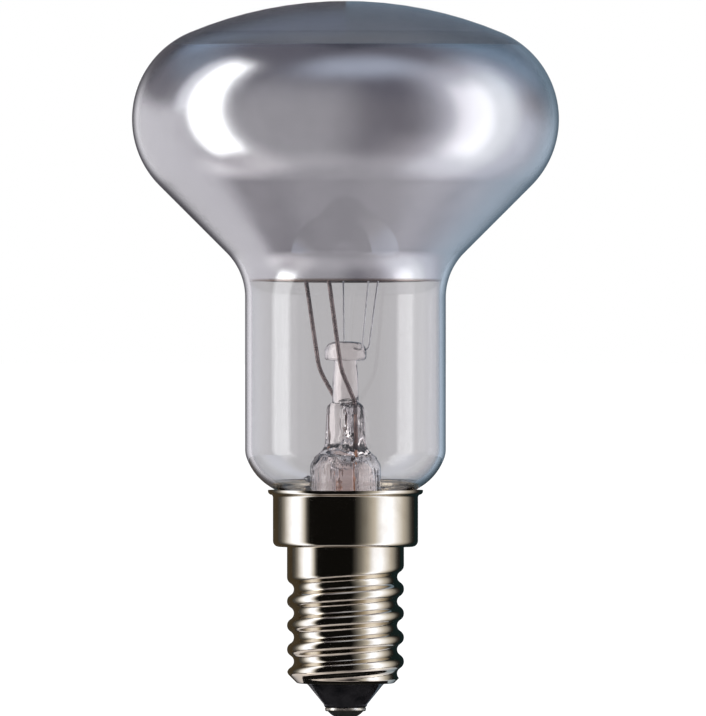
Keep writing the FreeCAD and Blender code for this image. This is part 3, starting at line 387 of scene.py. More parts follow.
nickel_wire = plain_metal("nickel_wire", (0.13, 0.1, 0.095), (0.27, 0.21, 0.2), 0.32, 0.18, 0.8)
clad_wire = plain_metal("copper_clad_wire", (0.13, 0.08, 0.07), (0.24, 0.15, 0.12), 0.4, 0.28, 0.8)
copper_wire = plain_metal("copper_wire", (0.55, 0.26, 0.14), (0.78, 0.42, 0.27), 0.42, 0.28, 0.6)
molybdenum = plain_metal("molybdenum", (0.6, 0.59, 0.59), (0.8, 0.79, 0.79), 0.5, 0.36, 0.5)
tungsten = plain_metal("tungsten", (0.2, 0.2, 0.21), (0.34, 0.34, 0.35), 0.5, 0.36, 0.3)
solder = plain_metal("solder", (0.38, 0.37, 0.36), (0.58, 0.57, 0.55), 0.42, 0.26, 0.7, depth=0.03)
brass = plain_metal("brass", (0.62, 0.56, 0.46), (0.8, 0.74, 0.63), 0.34, 0.22, 1.2)

nickel_plate, tree, shader = new_finish("nickel_plate", Metallic=1.0)
soil = grain(tree, 2.6, detail=5.0, roughness=0.6)
tarnish = [(0.25, (0.60, 0.52, 0.41)), (0.5, (0.68, 0.60, 0.48)), (0.8, (0.72, 0.64, 0.52))]
drive(tree, shader, soil, (0.14, 0.07), tarnish)
relief(tree, shader, grain(tree, 0.9, (3.0, 3.0, 0.08), detail=3.0), 0.006, 0.5)
print("Made", len(bpy.data.materials), "finishes so far")

# %% [markdown]
# ## Black glass and cement
#
# The plug of the cap is cast black glass with a fire-polished skin; the cement is baked powder and
# resin, matt and full of pores. Neither is a metal, so the plain Principled settings with noise in
# the colour, gloss and relief carry the look.


# %% Make the two stony finishes
black_glass, tree, shader = new_finish("black_glass", IOR=1.52)
swirl = grain(tree, 1.6, detail=3.0)
drive(tree, shader, swirl, (0.08, 0.2), [(0.3, (0.004, 0.004, 0.005)), (0.7, (0.016, 0.015, 0.017))])
relief(tree, shader, swirl, 0.05, 0.5)

cement, tree, shader = new_finish("baked_cement", IOR=1.45)
pores = grain(tree, 0.35, detail=6.0, roughness=0.7)
drive(tree, shader, pores, (0.95, 0.75), [(0.35, (0.30, 0.24, 0.17)), (0.6, (0.56, 0.47, 0.36))])
relief(tree, shader, pores, 0.12, 0.8)
print("Made", len(bpy.data.materials), "finishes in all")

# %% [markdown]
# ## The blown envelope
#
# One bubble of glass makes the whole bulb: a shallow dome, a round shoulder, a cone that carries
# the mirror, a plain neck and a tail drawn in to the seal. Its outline is a chain of arcs with
# tangent runs. The inner surface is the same chain moved in by the wall, so the arcs keep their
# centres and the wall is even. Turning both as one closed line gives real glass with two surfaces,
# which is what bends light in the neck.


# %% Draw the glass outline
def on_arc(centre, height, radius, climb, side=None):
    """A corner on a circle, so many degrees up from straight out; with a side, the arc leads to it."""
    turn = radians(climb)
    corner = (centre + radius * cos(turn), height + radius * sin(turn))
    return corner if side is None else (*corner, abs(radius), side)


def backwards(corners):
    """The same chain walked the other way; its first corner is reached by a straight run."""
    walked = [corners[-1][:2]]
    for previous, corner in zip(corners[-2::-1], corners[:0:-1]):
        arc = (corner[2], -corner[3]) if len(corner) == 4 else ()
        walked.append(tuple(previous[:2]) + arc)
    return walked


NECK = 11.75
THROAT = (7.4, 49.387)
NECK_CORNER = (3.0, 8.75, 31.597)
BELLY = (6.562, 5.403, 32.815)
SEAL = (2.5, 8.9, 24.314)
SHOULDER = (11.0, 14.0, 70.259)
DOME = (47.0, 37.09)
WALL = 0.7
GLASS_FOOT = 21.78


def glass_line(inset):
    """The corners of the glass from the top of the dome to the seal, moved in from the outer skin."""
    radius, centre, widest = SHOULDER
    dome, dome_z = DOME
    throat, throat_z = THROAT
    bend, bend_centre, neck_low = NECK_CORNER
    belly, belly_centre, belly_z = BELLY
    cove, cove_centre, seal_z = SEAL
    reach = dome - inset
    span = dome - radius
    tail = cove_centre - cove - inset
    return [
        (0.0, dome_z + reach),
        (reach * centre / span, dome_z + reach * (widest - dome_z) / span, reach, -1),
        on_arc(centre, widest, radius - inset, -45.0, -1),
        on_arc(NECK + throat, throat_z, -throat - inset, -45.0),
        (NECK - inset, throat_z, throat + inset, 1),
        (NECK - inset, neck_low),
        on_arc(bend_centre, neck_low, bend - inset, -20.0, -1),
        on_arc(belly_centre, belly_z, belly - inset, -58.0, -1),
        on_arc(cove_centre, seal_z, -cove - inset, -58.0),
        (tail, seal_z, cove + inset, 1),
        (tail, GLASS_FOOT),
    ]


wall_line = outline(glass_line(0.0) + backwards(glass_line(WALL)), 3.0)
glass_envelope = turned("glass_envelope", wall_line, 192)
print("The glass is", round(2 * max(point.x for point in wall_line), 2), "mm across")

# %% [markdown]
# The etched face is only the inner surface above the mirror's edge. A face of the mesh belongs to it when it
# is high enough and looks into the bulb, so the second material goes there and nowhere else. Then the piece
# rides on the bulb's one body and takes its solid's place, which a helper does for every piece.


# %% Etch the inside of the face
def dress(piece, finish, slot, *nodes):
    """Finishes a piece, puts it on the bulb's body and lets it stand for the solids it is named for."""
    if finish:
        piece.data.materials.append(finish)
    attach(piece, "root")
    if nodes:
        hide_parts(*nodes)


MIRROR_RIM = 53.0
rim_height = SHOULDER[2] + (SHOULDER[0] - WALL) * sin(radians(MIRROR_RIM))
glass_envelope.data.materials.append(clear_glass)
glass_envelope.data.materials.append(etched_glass)
bulb_centre = Vector((0.0, 0.0, 60.0 * MM))
etched = 0
for face in glass_envelope.data.polygons:
    looks_in = face.normal.dot(bulb_centre - face.center) > 0
    if looks_in and face.center.z > rim_height * MM:
        face.material_index = 1
        etched += 1
dress(glass_envelope, None, "clear_glass", "glass_envelope")
print("Etched", etched, "faces of the inner wall")

# %% [markdown]
# ## The mirror
#
# Aluminium is evaporated inside the finished bulb and settles as a film on the shoulder and the
# cone. A film has no thickness worth modelling, yet a closed thin wall keeps its two sides
# distinct: from outside it is seen through the glass, from above it is the bowl that throws the
# light forward.


# %% Line the head with its mirror
MIRROR_FOOT = 14.0


def mirror_line(inset):
    """The silvered stretch of the glass line, from its rim to its foot at the throat."""
    line = glass_line(inset)
    radius, centre, widest = SHOULDER
    throat, throat_z = THROAT
    rim = on_arc(centre, widest, radius - inset, MIRROR_RIM)
    foot = on_arc(NECK + throat, throat_z, -throat - inset, -MIRROR_FOOT, 1)
    return [rim, line[2], line[3], foot]


film = mirror_line(WALL + 0.02) + backwards(mirror_line(WALL + 0.07))
mirror_film = turned("mirror_film", outline(film, 3.0), 192)
dress(mirror_film, silvering, "mirror", "mirror_film")
print("The mirror reaches up to", round(rim_height, 1), "mm")

# %% [markdown]
# ## The glass stem
#
# The stem is worked from three bits of glass melted into one: a tube flared to meet the seal,
# pinched flat round the wires; a thin tube through which the air left; and a rod that ends in the
# button for the coil's supports. A loft suits it: each level is one closed ring whose shape slides
# from a circle to a rounded bar and back. The skin runs up the outside to the button, and from the
# foot up the inside and down the thin tube, so that the whole stem is one closed glass body.

# %% Loft the stem
STEM_TURN = -60.0
RING = 72


def stem_ring(height, radius, flat=0.0, length=0.0, thickness=0.0):
    """One level of the stem: a circle, or by the share flat a bar with rounded ends."""
    ring = []
    for index in range(RING):
        angle = 2 * pi * index / RING
        circle = Vector((cos(angle), sin(angle))) * radius
        if flat:
            power = 2.0 / 3.2
            along = copysign(abs(cos(angle)) ** power, cos(angle)) * length / 2
            across = copysign(abs(sin(angle)) ** power, sin(angle)) * thickness / 2
            circle = circle.lerp(Vector((along, across)), flat)
        turn = Matrix.Rotation(radians(STEM_TURN), 2)
        ring.append((*(turn @ circle), height))
    return ring


def eased(share):
    """A share from 0 to 1 that starts and ends gently."""
    return share * share * (3 - 2 * share)


print("A level of the stem has", RING, "points")

# %% Stack the levels from the foot to the button and back down inside
STEM_WIDE = 4.15
PINCH_LONG = 6.4
PINCH_THICK = 3.2
BUTTON_TOP = 44.26
SEALED_TIP = 14.58
flare = [(4.93, 21.83), (5.63, 21.79), (5.68, 22.48), (STEM_WIDE, 24.38, 4.0, 1), (STEM_WIDE, 29.3)]
levels = [stem_ring(height, radius) for radius, height in outline(flare, 4.0)]
for share in (step / 12 for step in range(1, 13)):
    levels.append(stem_ring(29.4 + 2.98 * share, STEM_WIDE, eased(share), PINCH_LONG, PINCH_THICK))
for share in (step / 8 for step in range(1, 9)):
    levels.append(stem_ring(32.38 + 4.0 * share, STEM_WIDE, 1.0, PINCH_LONG - share, PINCH_THICK))
rounding = ((36.7, 1.0, 5.1, 3.05), (36.95, 1.0, 4.3, 2.7), (37.1, 0.8, 3.4, 2.6))
for height, share, length, thickness in rounding:
    levels.append(stem_ring(height, 1.6, share, length, thickness))
rod = [(1.55, 37.4), (1.5, 38.2), (1.5, 39.9), (1.3, 42.0)]
button = [(2.05, 42.05), (2.45, 42.45, 0.4, 1), (2.45, 43.0), (1.25, 44.2, 1.2, 1), (0.6, BUTTON_TOP)]
levels.extend(stem_ring(height, radius) for radius, height in outline(rod + button))
bore = [(4.93, 22.13), (3.4, 24.38, 4.0, 1), (3.4, 29.2), (2.6, 30.3), (1.75, 30.42), (1.6, 30.2)]
tube = [(1.6, 30.0), (1.6, 16.18), (0.35, 14.65, 1.6, -1)]
inner = [stem_ring(height, radius) for radius, height in outline(bore, 4.0) + outline(tube, 9.0)]
rings = inner[::-1] + levels
placed = [point for ring in rings for point in ring]
numbers = [list(range(row * RING, row * RING + RING)) for row in range(len(rings))]
numbers = [[len(placed)]] + numbers + [[len(placed) + 1]]
placed.extend([(0, 0, SEALED_TIP), (0, 0, BUTTON_TOP)])
faces = []
for low, high in zip(numbers, numbers[1:]):
    faces.extend(band(low, high))
stem = new_piece("glass_stem", placed, faces, 50.0)
print("The stem has", len(rings), "levels")

# %% [markdown]
# Air left the bulb through a hole blown in the side of the pinch, and on down the thin tube. The
# passage is taken out of the glass with two Boolean cuts: the tube's bore and the slanting hole.
# The cutters are only tools, so they are deleted once the cut is applied.


# %% Open the passage for the air
def keep_result(piece):
    """Makes what a piece's modifiers give its plain mesh, and removes them."""
    graph = bpy.context.evaluated_depsgraph_get()
    made = bpy.data.meshes.new_from_object(piece.evaluated_get(graph))
    piece.modifiers.clear()
    piece.data = made


def carve(piece, cutters):
    """Cuts the cutters out of a piece, applies the result and removes the cutters."""
    for cutter in cutters:
        cut = piece.modifiers.new("cut", "BOOLEAN")
        cut.operation = "DIFFERENCE"
        cut.solver = "EXACT"
        cut.object = cutter
    keep_result(piece)
    for cutter in cutters:
        bpy.data.objects.remove(cutter)
    piece.data.shade_smooth()
    piece.data.set_sharp_from_angle(angle=radians(50.0))


bore_line = outline([(0, 16.18), (1.0, 17.18, 1.0, 1), (1.0, 30.3), (0, 30.9, 0.9, 1)], 12.0)
tube_bore = turned("tube_bore", bore_line, 40)
slant = radians(28.0)
away = Matrix.Rotation(radians(STEM_TURN), 3, "Z") @ Vector((0.0, sin(slant), cos(slant)))
low_end = Vector((0.0, 0.0, 29.6))
hole = swept("blown_hole", [low_end, low_end + away * 5.2], 0.55, 24)
carve(stem, [tube_bore, hole])
stem.data.materials.clear()
dress(stem, stem_glass, "stem_glass", "stem_press", "exhaust_tube", "glass_arbor")
print("The carved stem has", len(stem.data.polygons), "faces")

# %% [markdown]
# ## Leads and supports
#
# Two nickel leads rise from the pinch, spread and carry the ends of the coil. Below the pinch each
# goes on as a short copper-clad wire, the only metal that seals gas-tight in glass, and then as
# thin copper. Three finer supports grow out of the button and hook over the coil. All are paths of
# straight runs with bends, so the sweep makes them all.


# %% Bend the leads
def polar(radius, bearing, height):
    """A point from its distance to the axis, its bearing from +X and its height."""
    angle = radians(bearing)
    return Vector((radius * cos(angle), radius * sin(angle), height))


def wire(name, corners, radii, diameter, finish, slot, sides=14):
    """A bent wire that stands for the solid wire of the same name."""
    piece = swept(name, bent(corners, radii), diameter / 2, sides)
    dress(piece, finish, slot, name)


COIL_HEIGHT = 61.959
COIL_RING = 6.4
COIL_STEP = 71.625
COIL_START = 238.75
SEAL_TOP = 35.78
SEAL_FOOT = 31.48
coil_ends = (("front", STEM_TURN, COIL_START), ("rear", STEM_TURN + 180, COIL_START + 4 * COIL_STEP))
up = Vector((0.0, 0.0, 1.0))
for name, turn, bearing in coil_ends:
    root = polar(2.1, turn, 0)
    goal = polar(COIL_RING, bearing, 0)
    knee = root + (goal - root).normalized() * 2.05 + up * 40.98
    corners = [root + up * SEAL_TOP, root + up * 37.28, knee, goal + up * COIL_HEIGHT]
    wire("inner_lead_" + name, corners, (1.6, 6.0), 0.5, nickel_wire, "nickel_wire", 16)
    corners = [root + up * SEAL_FOOT, root + up * SEAL_TOP]
    wire("seal_wire_" + name, corners, (), 0.4, clad_wire, "copper_clad_wire")
print("Coil ends at", [round(value, 2) for value in polar(COIL_RING, COIL_START, COIL_HEIGHT)])

# %% [markdown]
# The end of each inner lead is beaten flat and rolled round the coil's tail. A short tube set along
# the coil stands for it. Its points are made along the axis first, then turned to the tail's bearing,
# because a finished piece keeps its place in its mesh.

# %% Roll the sleeves round the coil's tails
SLEEVE = [(0.32, -0.6), (0.42, -0.6), (0.5, -0.5, 0.1, 1), (0.5, 0.5), (0.42, 0.6, 0.1, 1), (0.32, 0.6)]
for (name, turn, bearing), tail in zip(coil_ends, (4.56, 219.4)):
    sleeve = turned("lead_sleeve_" + name, outline(SLEEVE, 20.0), 32)
    lay = Matrix.Rotation(radians(tail), 4, "Z") @ Matrix.Rotation(radians(90), 4, "Y")
    sleeve.data.transform(Matrix.Translation(polar(COIL_RING, bearing, COIL_HEIGHT) * MM) @ lay)
    dress(sleeve, nickel_wire, "nickel_wire")
print("Rolled", len(coil_ends), "sleeves")

# %% [markdown]
# The thin outer leads run down inside the cap: one to the tip, one up through the cement and over
# the rim. They are hidden, but a part that is opened or cut should hold what the real one holds.
# Three supports grow out of the button's side. Each of these wires stays in one upright plane, so
# pairs of radius and height describe it.


# %% Lead the current to the cap and set the supports
def upright(bearing, pairs):
    """Points in the upright plane of a bearing, from pairs of radius and height."""
    return [polar(radius, bearing, height) for radius, height in pairs]


centre_path = upright(STEM_TURN, [(2.1, SEAL_FOOT), (2.1, 14.0), (0.0, 11.0), (0.0, 0.6)])
wire("outer_lead_centre", centre_path, (1.5, 1.5), 0.25, copper_wire, "copper_wire", 10)
side_pairs = [(2.1, SEAL_FOOT), (2.1, 21.13), (7.4, 21.13), (7.4, 26.15), (9.4, 27.4)]
side_path = upright(STEM_TURN + 180, side_pairs)
wire("outer_lead_side", side_path, (0.8, 0.8, 0.8), 0.25, copper_wire, "copper_wire", 10)
hook_pairs = [(1.3, 43.3), (2.9, 43.3), (5.764, 62.409), (6.664, 62.409), (6.664, 61.459)]
for number in (1, 2, 3):
    hook = upright(COIL_START + number * COIL_STEP, hook_pairs)
    name = "support_wire_%d" % number
    wire(name, hook, (0.45, 0.36, 0.36), 0.2, molybdenum, "molybdenum_wire", 10)
print("Set two outer leads and three supports")

# %% [markdown]
# ## The coil, wound by Geometry Nodes
#
# The filament is a fine wire wound into a coil, and the coil is hung as an open ring on its hooks.
# Something that repeats along a path is a task for Geometry Nodes: the path is resampled to a fixed
# number of points for each turn, every point steps sideways by an angle that grows with its number,
# and a small circle is carried along the result. Turns, coil width and wire width are inputs, so
# the same tree winds any coil.


# %% Small helpers for geometry trees
def calc(tree, operation, *values):
    """One step of arithmetic on sockets or numbers."""
    return out(tree, "ShaderNodeMath", dict(enumerate(values)), operation=operation)


def scaled(tree, vector, factor):
    """A vector or a colour times a number."""
    return out(tree, "ShaderNodeVectorMath", {0: vector, "Scale": factor}, operation="SCALE")


def vector_sum(tree, first, second):
    """Two vectors or colours added."""
    return out(tree, "ShaderNodeVectorMath", {0: first, 1: second}, operation="ADD")


def new_tree(name, sizes):
    """A geometry tree with a Geometry output, a Geometry input and an input for each of the sizes."""
    tree = bpy.data.node_groups.new(name, "GeometryNodeTree")
    tree.interface.new_socket("Geometry", in_out="INPUT", socket_type="NodeSocketGeometry")
    for label, size in sizes.items():
        kind = "NodeSocket" + type(size).__name__.capitalize()
        tree.interface.new_socket(label, in_out="INPUT", socket_type=kind)
    tree.interface.new_socket("Geometry", in_out="OUTPUT", socket_type="NodeSocketGeometry")
    return tree, tree.nodes.new("NodeGroupInput").outputs


def finish_tree(tree, geometry, finish):
    """Ends a tree with Realize Instances, Set Shade Smooth and Set Material."""
    real = add_node(tree, "GeometryNodeRealizeInstances", {0: geometry})
    smooth = add_node(tree, "GeometryNodeSetShadeSmooth", {0: real.outputs[0]})
    dressed = add_node(tree, "GeometryNodeSetMaterial", {0: smooth.outputs[0], "Material": finish})
    add_node(tree, "NodeGroupOutput", {0: dressed.outputs[0]})


def apply_tree(piece, tree, sizes):
    """Runs a tree on a piece with its inputs set by identifier, and keeps the plain mesh."""
    modifier = piece.modifiers.new(tree.name, "NODES")
    modifier.node_group = tree
    for item in tree.interface.items_tree:
        if item.item_type == "SOCKET" and item.in_out == "INPUT" and item.name in sizes:
            modifier[item.identifier] = sizes[item.name]
    keep_result(piece)


# %% Lay the path of the coil
TAIL = 0.4
coil_corners = [polar(COIL_RING, COIL_START + index * COIL_STEP, COIL_HEIGHT) for index in range(5)]
for end, inner_one in ((0, 1), (4, 3)):
    coil_corners[end] += (coil_corners[end] - coil_corners[inner_one]).normalized() * TAIL
coil_path = bent(coil_corners, (0.8, 0.8, 0.8))
coil_length = sum((b - a).length for a, b in zip(coil_path, coil_path[1:]))
steps = [(index, index + 1) for index in range(len(coil_path) - 1)]
filament = new_object("filament", new_mesh("filament", coil_path, steps, []))
print("The coil's path is", round(coil_length, 1), "mm long")

# %% Wind the coil
TURN_GAP = 0.2
sizes = {
    "Turns": round(coil_length / TURN_GAP),
    "Points per turn": 12,
    "Coil radius": 0.24 * MM,
    "Wire radius": 0.055 * MM,
    "Finish": tungsten,
}
tree, given = new_tree("wind_coil", sizes)
path = out(tree, "GeometryNodeMeshToCurve", {0: given["Geometry"]})
count = calc(tree, "MULTIPLY", given["Turns"], given["Points per turn"])
fine = add_node(tree, "GeometryNodeResampleCurve", {"Curve": path, "Count": count}, mode="COUNT")
level = out(tree, "GeometryNodeSetCurveNormal", {0: fine.outputs[0]}, mode="Z_UP")
number = out(tree, "GeometryNodeInputIndex")
angle = calc(tree, "MULTIPLY", calc(tree, "DIVIDE", number, given["Points per turn"]), 2 * pi)
along = out(tree, "GeometryNodeInputTangent")
outward = out(tree, "GeometryNodeInputNormal")
upward = out(tree, "ShaderNodeVectorMath", {0: along, 1: outward}, operation="CROSS_PRODUCT")
aside = scaled(tree, outward, calc(tree, "MULTIPLY", calc(tree, "COSINE", angle), given["Coil radius"]))
above = scaled(tree, upward, calc(tree, "MULTIPLY", calc(tree, "SINE", angle), given["Coil radius"]))
shift = {"Geometry": level, "Offset": vector_sum(tree, aside, above)}
wound = out(tree, "GeometryNodeSetPosition", shift)
calm = out(tree, "GeometryNodeSetCurveNormal", {0: wound}, mode="MINIMUM_TWIST")
wire_size = {"Resolution": 6, "Radius": given["Wire radius"]}
profile = out(tree, "GeometryNodeCurvePrimitiveCircle", wire_size)
tube = {"Curve": calm, "Profile Curve": profile, "Fill Caps": True}
finish_tree(tree, out(tree, "GeometryNodeCurveToMesh", tube), given["Finish"])
apply_tree(filament, tree, sizes)
dress(filament, None, "tungsten", "filament")
print("Wound", sizes["Turns"], "turns into", len(filament.data.polygons), "faces")

# %% [markdown]
# ## The rolled screw shell
#
# The cap starts as a drawn cup with a plain barrel, and its thread is rolled into the sheet from
# both sides at once. The mesh is made in the same order. The blank is turned from its outline with
# close rings on the barrel, and each point remembers whether it lies on the outer or the inner
# skin. Then a node tree presses it in: it works out how far each point is from the middle of the
# nearest groove along the helix, and takes the depth from the two arcs of a knuckle thread. The
# groove fades out over a third of a turn, as the roller lifts.


# %% Draw the blank of the shell
def spaced(points, gap):
    """Adds points on long runs, so that no two neighbours are further apart than the gap."""
    filled = [points[0]]
    for point in points[1:]:
        run = point - filled[-1]
        count = max(1, ceil(run.length / gap))
        start = filled[-1]
        filled.extend(start + run * index / count for index in range(1, count + 1))
    return filled


SHEET = 0.28
PITCH = 2.82
CREST = 6.85
ROOT = 6.05
ROUND = 0.822
SHELL_FOOT = 4.2
BARREL_TOP = 20.2
AROUND = 168


def shell_line(inset):
    """The outline of the sheet, moved in from its outer skin: foot, barrel, floor, skirt and rim."""
    foot = 0.5 - inset
    barrel = ROUND - inset
    flange = 0.3 + inset
    return [
        (5.45, SHELL_FOOT + inset),
        on_arc(5.45, 4.7, foot, -45.0, 1),
        on_arc(CREST - ROUND, 5.733, barrel, -45.0),
        (CREST - inset, 5.733, barrel, 1),
        (CREST - inset, BARREL_TOP + inset),
        (7.8, BARREL_TOP + inset),
        (8.5 - inset, 20.9, 0.7 - inset, 1),
        (8.5 - inset, 26.009),
        on_arc(8.8, 26.009, -flange, -80.0, -1),
        (9.08 - inset, 26.7, 0.402 - inset, 1),
        (9.08 - inset, 26.85),
    ]


def close_rings(points):
    """Close points where the thread is rolled, wider ones elsewhere."""
    kept = []
    for low, high in zip(points, points[1:]):
        on_barrel = max(low.y, high.y) > SHELL_FOOT + 0.1 and min(low.y, high.y) < BARREL_TOP + 0.05
        gap = 0.13 if on_barrel and abs(high.y - low.y) > 0.13 else 0.6
        kept.extend(spaced([low, high], gap)[:-1])
    return kept + [points[-1]]


outside = close_rings([Vector((4.65, SHELL_FOOT))] + outline(shell_line(0.0), 8.0))
inner_foot = [Vector((4.65, SHELL_FOOT + SHEET))]
inside = close_rings(outline(backwards(shell_line(SHEET)), 12.0) + inner_foot)
cap_shell = turned("cap_shell", outside + inside, AROUND, crisp=50.0)
skin = cap_shell.data.attributes.new("skin_depth", "FLOAT", "POINT")
for index in range(len(cap_shell.data.vertices)):
    skin.data[index].value = 0.0 if index // AROUND < len(outside) else SHEET * MM
print("The blank has", len(outside), "outer and", len(inside), "inner rings")

# %% Find each point's place on the helix
root_centre = ROOT + ROUND
crest_centre = CREST - ROUND
sizes = {
    "Pitch": PITCH * MM,
    "First groove": 2.53 * MM,
    "Turns": 5.0,
    "Run-out turns": 0.3,
    "Lift": 0.9 * MM,
    "Root centre": root_centre * MM,
    "Crest centre": crest_centre * MM,
    "Round": ROUND * MM,
    "Flank sine": sin(atan2(PITCH / 2, root_centre - crest_centre)),
    "Finish": nickel_plate,
}
tree, given = new_tree("roll_thread", sizes)
point = out(tree, "GeometryNodeInputPosition")
x, y, z = add_node(tree, "ShaderNodeSeparateXYZ", {0: point}).outputs
flat = out(tree, "ShaderNodeCombineXYZ", {0: x, 1: y})
reach = add_node(tree, "ShaderNodeVectorMath", {0: flat}, operation="LENGTH").outputs["Value"]
bearing = calc(tree, "DIVIDE", calc(tree, "ARCTAN2", y, x), 2 * pi)
turn = calc(tree, "FRACT", calc(tree, "ADD", bearing, 1.0))
height = calc(tree, "SUBTRACT", z, given["First groove"])
climb = calc(tree, "DIVIDE", height, given["Pitch"])
whole = calc(tree, "ROUND", calc(tree, "SUBTRACT", climb, turn))
travelled = calc(tree, "ADD", whole, turn)
middle = calc(tree, "MULTIPLY", travelled, given["Pitch"])
aside = calc(tree, "ABSOLUTE", calc(tree, "SUBTRACT", height, middle))
stored = add_node(tree, "GeometryNodeInputNamedAttribute", {"Name": "skin_depth"}, data_type="FLOAT")
depth = stored.outputs[0]
print("The groove climbs", PITCH, "mm a turn, and its arcs have a radius of", ROUND, "mm")


# %% Roll the thread
def arc_height(radius, distance):
    """How high an arc stands over its centre at a distance along it."""
    squares = [calc(tree, "MULTIPLY", length, length) for length in (radius, distance)]
    return calc(tree, "SQRT", calc(tree, "MAXIMUM", calc(tree, "SUBTRACT", *squares), 0.0))


root_radius = calc(tree, "ADD", given["Round"], depth)
crest_radius = calc(tree, "SUBTRACT", given["Round"], depth)
root = calc(tree, "SUBTRACT", given["Root centre"], arc_height(root_radius, aside))
to_crest = calc(tree, "SUBTRACT", calc(tree, "MULTIPLY", given["Pitch"], 0.5), aside)
crest = calc(tree, "ADD", given["Crest centre"], arc_height(crest_radius, to_crest))
in_root = calc(tree, "LESS_THAN", aside, calc(tree, "MULTIPLY", root_radius, given["Flank sine"]))
groove = out(tree, "GeometryNodeSwitch", {0: in_root, 1: crest, 2: root}, input_type="FLOAT")
past = calc(tree, "MAXIMUM", calc(tree, "SUBTRACT", travelled, given["Turns"]), 0.0)
run_out = calc(tree, "DIVIDE", past, given["Run-out turns"])
lifted = calc(tree, "ADD", groove, calc(tree, "MULTIPLY", run_out, given["Lift"]))
rolled = calc(tree, "MINIMUM", reach, lifted)
pressed = scaled(tree, flat, calc(tree, "DIVIDE", rolled, reach))
across = add_node(tree, "ShaderNodeSeparateXYZ", {0: pressed}).outputs
goal = out(tree, "ShaderNodeCombineXYZ", {0: across[0], 1: across[1], 2: z})
moved = add_node(tree, "GeometryNodeSetPosition", {"Geometry": given["Geometry"], "Position": goal})
finish_tree(tree, moved.outputs[0], given["Finish"])
apply_tree(cap_shell, tree, sizes)
cap_shell.data.set_sharp_from_angle(angle=radians(50.0))
dress(cap_shell, None, "nickel_plate", "cap_shell")
print("Rolled a thread of pitch", PITCH, "mm into", len(cap_shell.data.polygons), "faces")

# %% [markdown]
# ## The foot of the cap
#
# Below the shell sit the black glass plug, a brass plate and the dome of solder that touches the
# lampholder. All are round, so all are turned, with the small radii that casting, punching and
# surface tension leave on edges.


# %% Turn the plug, the plate, the solder and the cement
def turned_part(name, corners, finish, slot, around=120, step=8.0):
    """A turned piece that stands for the solid of the same name."""
    dress(turned(name, outline(corners, step), around, crisp=40.0), finish, slot, name)


PLUG = [
    (0.6, 1.35), (2.15, 1.35), (2.55, 1.75, 0.4, 1), (4.42, 4.05), (4.58, 4.2, 0.3, 1), (4.6, 4.48),
    (5.32, 4.48), (5.62, 4.78), (5.62, 6.58), (4.0, 6.58), (3.4, 4.98), (0.6, 4.98),
]
PLATE = [(0.6, 0.95), (2.25, 0.95), (2.4, 1.1, 0.15, 1), (2.4, 1.35), (0.6, 1.35)]
TIP = [(0.0, 0.0), (2.1, 0.95, 2.796, 1), (0.6, 0.95), (0.6, 1.75), (0.0, 1.75)]
CEMENT = [
    (8.21, 22.13), (8.21, 25.35), (8.15, 25.4, 0.08, 1), (6.67, 25.4), (6.42, 24.314, 2.48, 1), (6.42, 22.13),
]
turned_part("cap_insulator", PLUG, black_glass, "black_glass")
turned_part("contact_plate", PLATE, brass, "brass", 80, 20.0)
turned_part("tip_solder", TIP, solder, "solder", 80, 3.0)
turned_part("cap_cement", CEMENT, cement, "cement")
print("The plug is", PLUG[8][1] - PLUG[0][1], "mm high")

# %% [markdown]
# The side lead crosses the rim and is held there by a drop of solder. A drop that has run on metal
# is never a ball: this one is a ball flattened against the rim and made uneven by a slow wave.


# %% Solder the side lead to the rim
def half_round(wide, high, step):
    """Points of half an ellipse from its foot to its top, one for every step degrees."""
    turns = [radians(turn) for turn in range(0, 181, step)]
    return [Vector((sin(turn) * wide, -cos(turn) * high)) for turn in turns]


side_solder = turned("side_solder", half_round(0.75, 0.6, 10), 28, closed=False)
side_solder.data.transform(Matrix.Translation(polar(9.05, STEM_TURN + 180, 26.8) * MM))
for vertex in side_solder.data.vertices:
    reach = vertex.co / MM
    swell = 0.05 * sin(4.1 * reach.x + 1.0) * sin(3.3 * reach.z)
    vertex.co += vertex.normal * swell * MM
dress(side_solder, solder, "solder", "side_solder")
print("The side solder has", len(side_solder.data.vertices), "points")

# %% [markdown]
# ## The studio
#
# Nothing shapes glass and metal more than what stands round them. The plain light comes from a
# pale world and two soft lamps at a level where a colour renders as written. What the metal and
# the glass mirror is a light tent: a tall panel on the left, a wide soft one on the right, a dark
# gap behind the camera and darker walls at the back. The tent is seen only by reflected rays and
# through the glass, so the background stays white.


# %% Light the world plainly
def looked_at(tree):
    """One for rays from the camera, from gloss and through glass, nought for light on its way."""
    rays = add_node(tree, "ShaderNodeLightPath").outputs
    through = calc(tree, "MAXIMUM", rays["Is Glossy Ray"], rays["Is Transmission Ray"])
    return calc(tree, "MAXIMUM", rays["Is Camera Ray"], through)


def hide_from(thing, *rays):
    """Makes a lamp or a stage piece invisible to kinds of rays."""
    for kind in rays:
        setattr(thing, "visible_" + kind, False)


scene = bpy.context.scene
scene.view_settings.view_transform = "Standard"
scene.world = bpy.data.worlds.new("studio")
scene.world.use_nodes = True
tree = scene.world.node_tree
background = tree.nodes["Background"]
background.inputs["Color"].default_value = (1.0, 1.0, 1.0, 1.0)
tree.links.new(between(tree, looked_at(tree), 0.55, 1.0, 0.0, 1.0), background.inputs["Strength"])


def lamp(name, place, width, height, power):
    """A soft rectangular lamp that lights matt surfaces; what shines mirrors the tent instead."""
    light = bpy.data.lights.new(name, "AREA")
    light.shape = "RECTANGLE"
    light.size = width
    light.size_y = height
    light.energy = power
    holder = new_object(name, light)
    holder.location = place
    aim = Vector((0.0, 0.0, 0.04))
    holder.rotation_euler = (aim - Vector(place)).to_track_quat("-Z", "Y").to_euler()
    hide_from(holder, "glossy", "transmission", "camera")


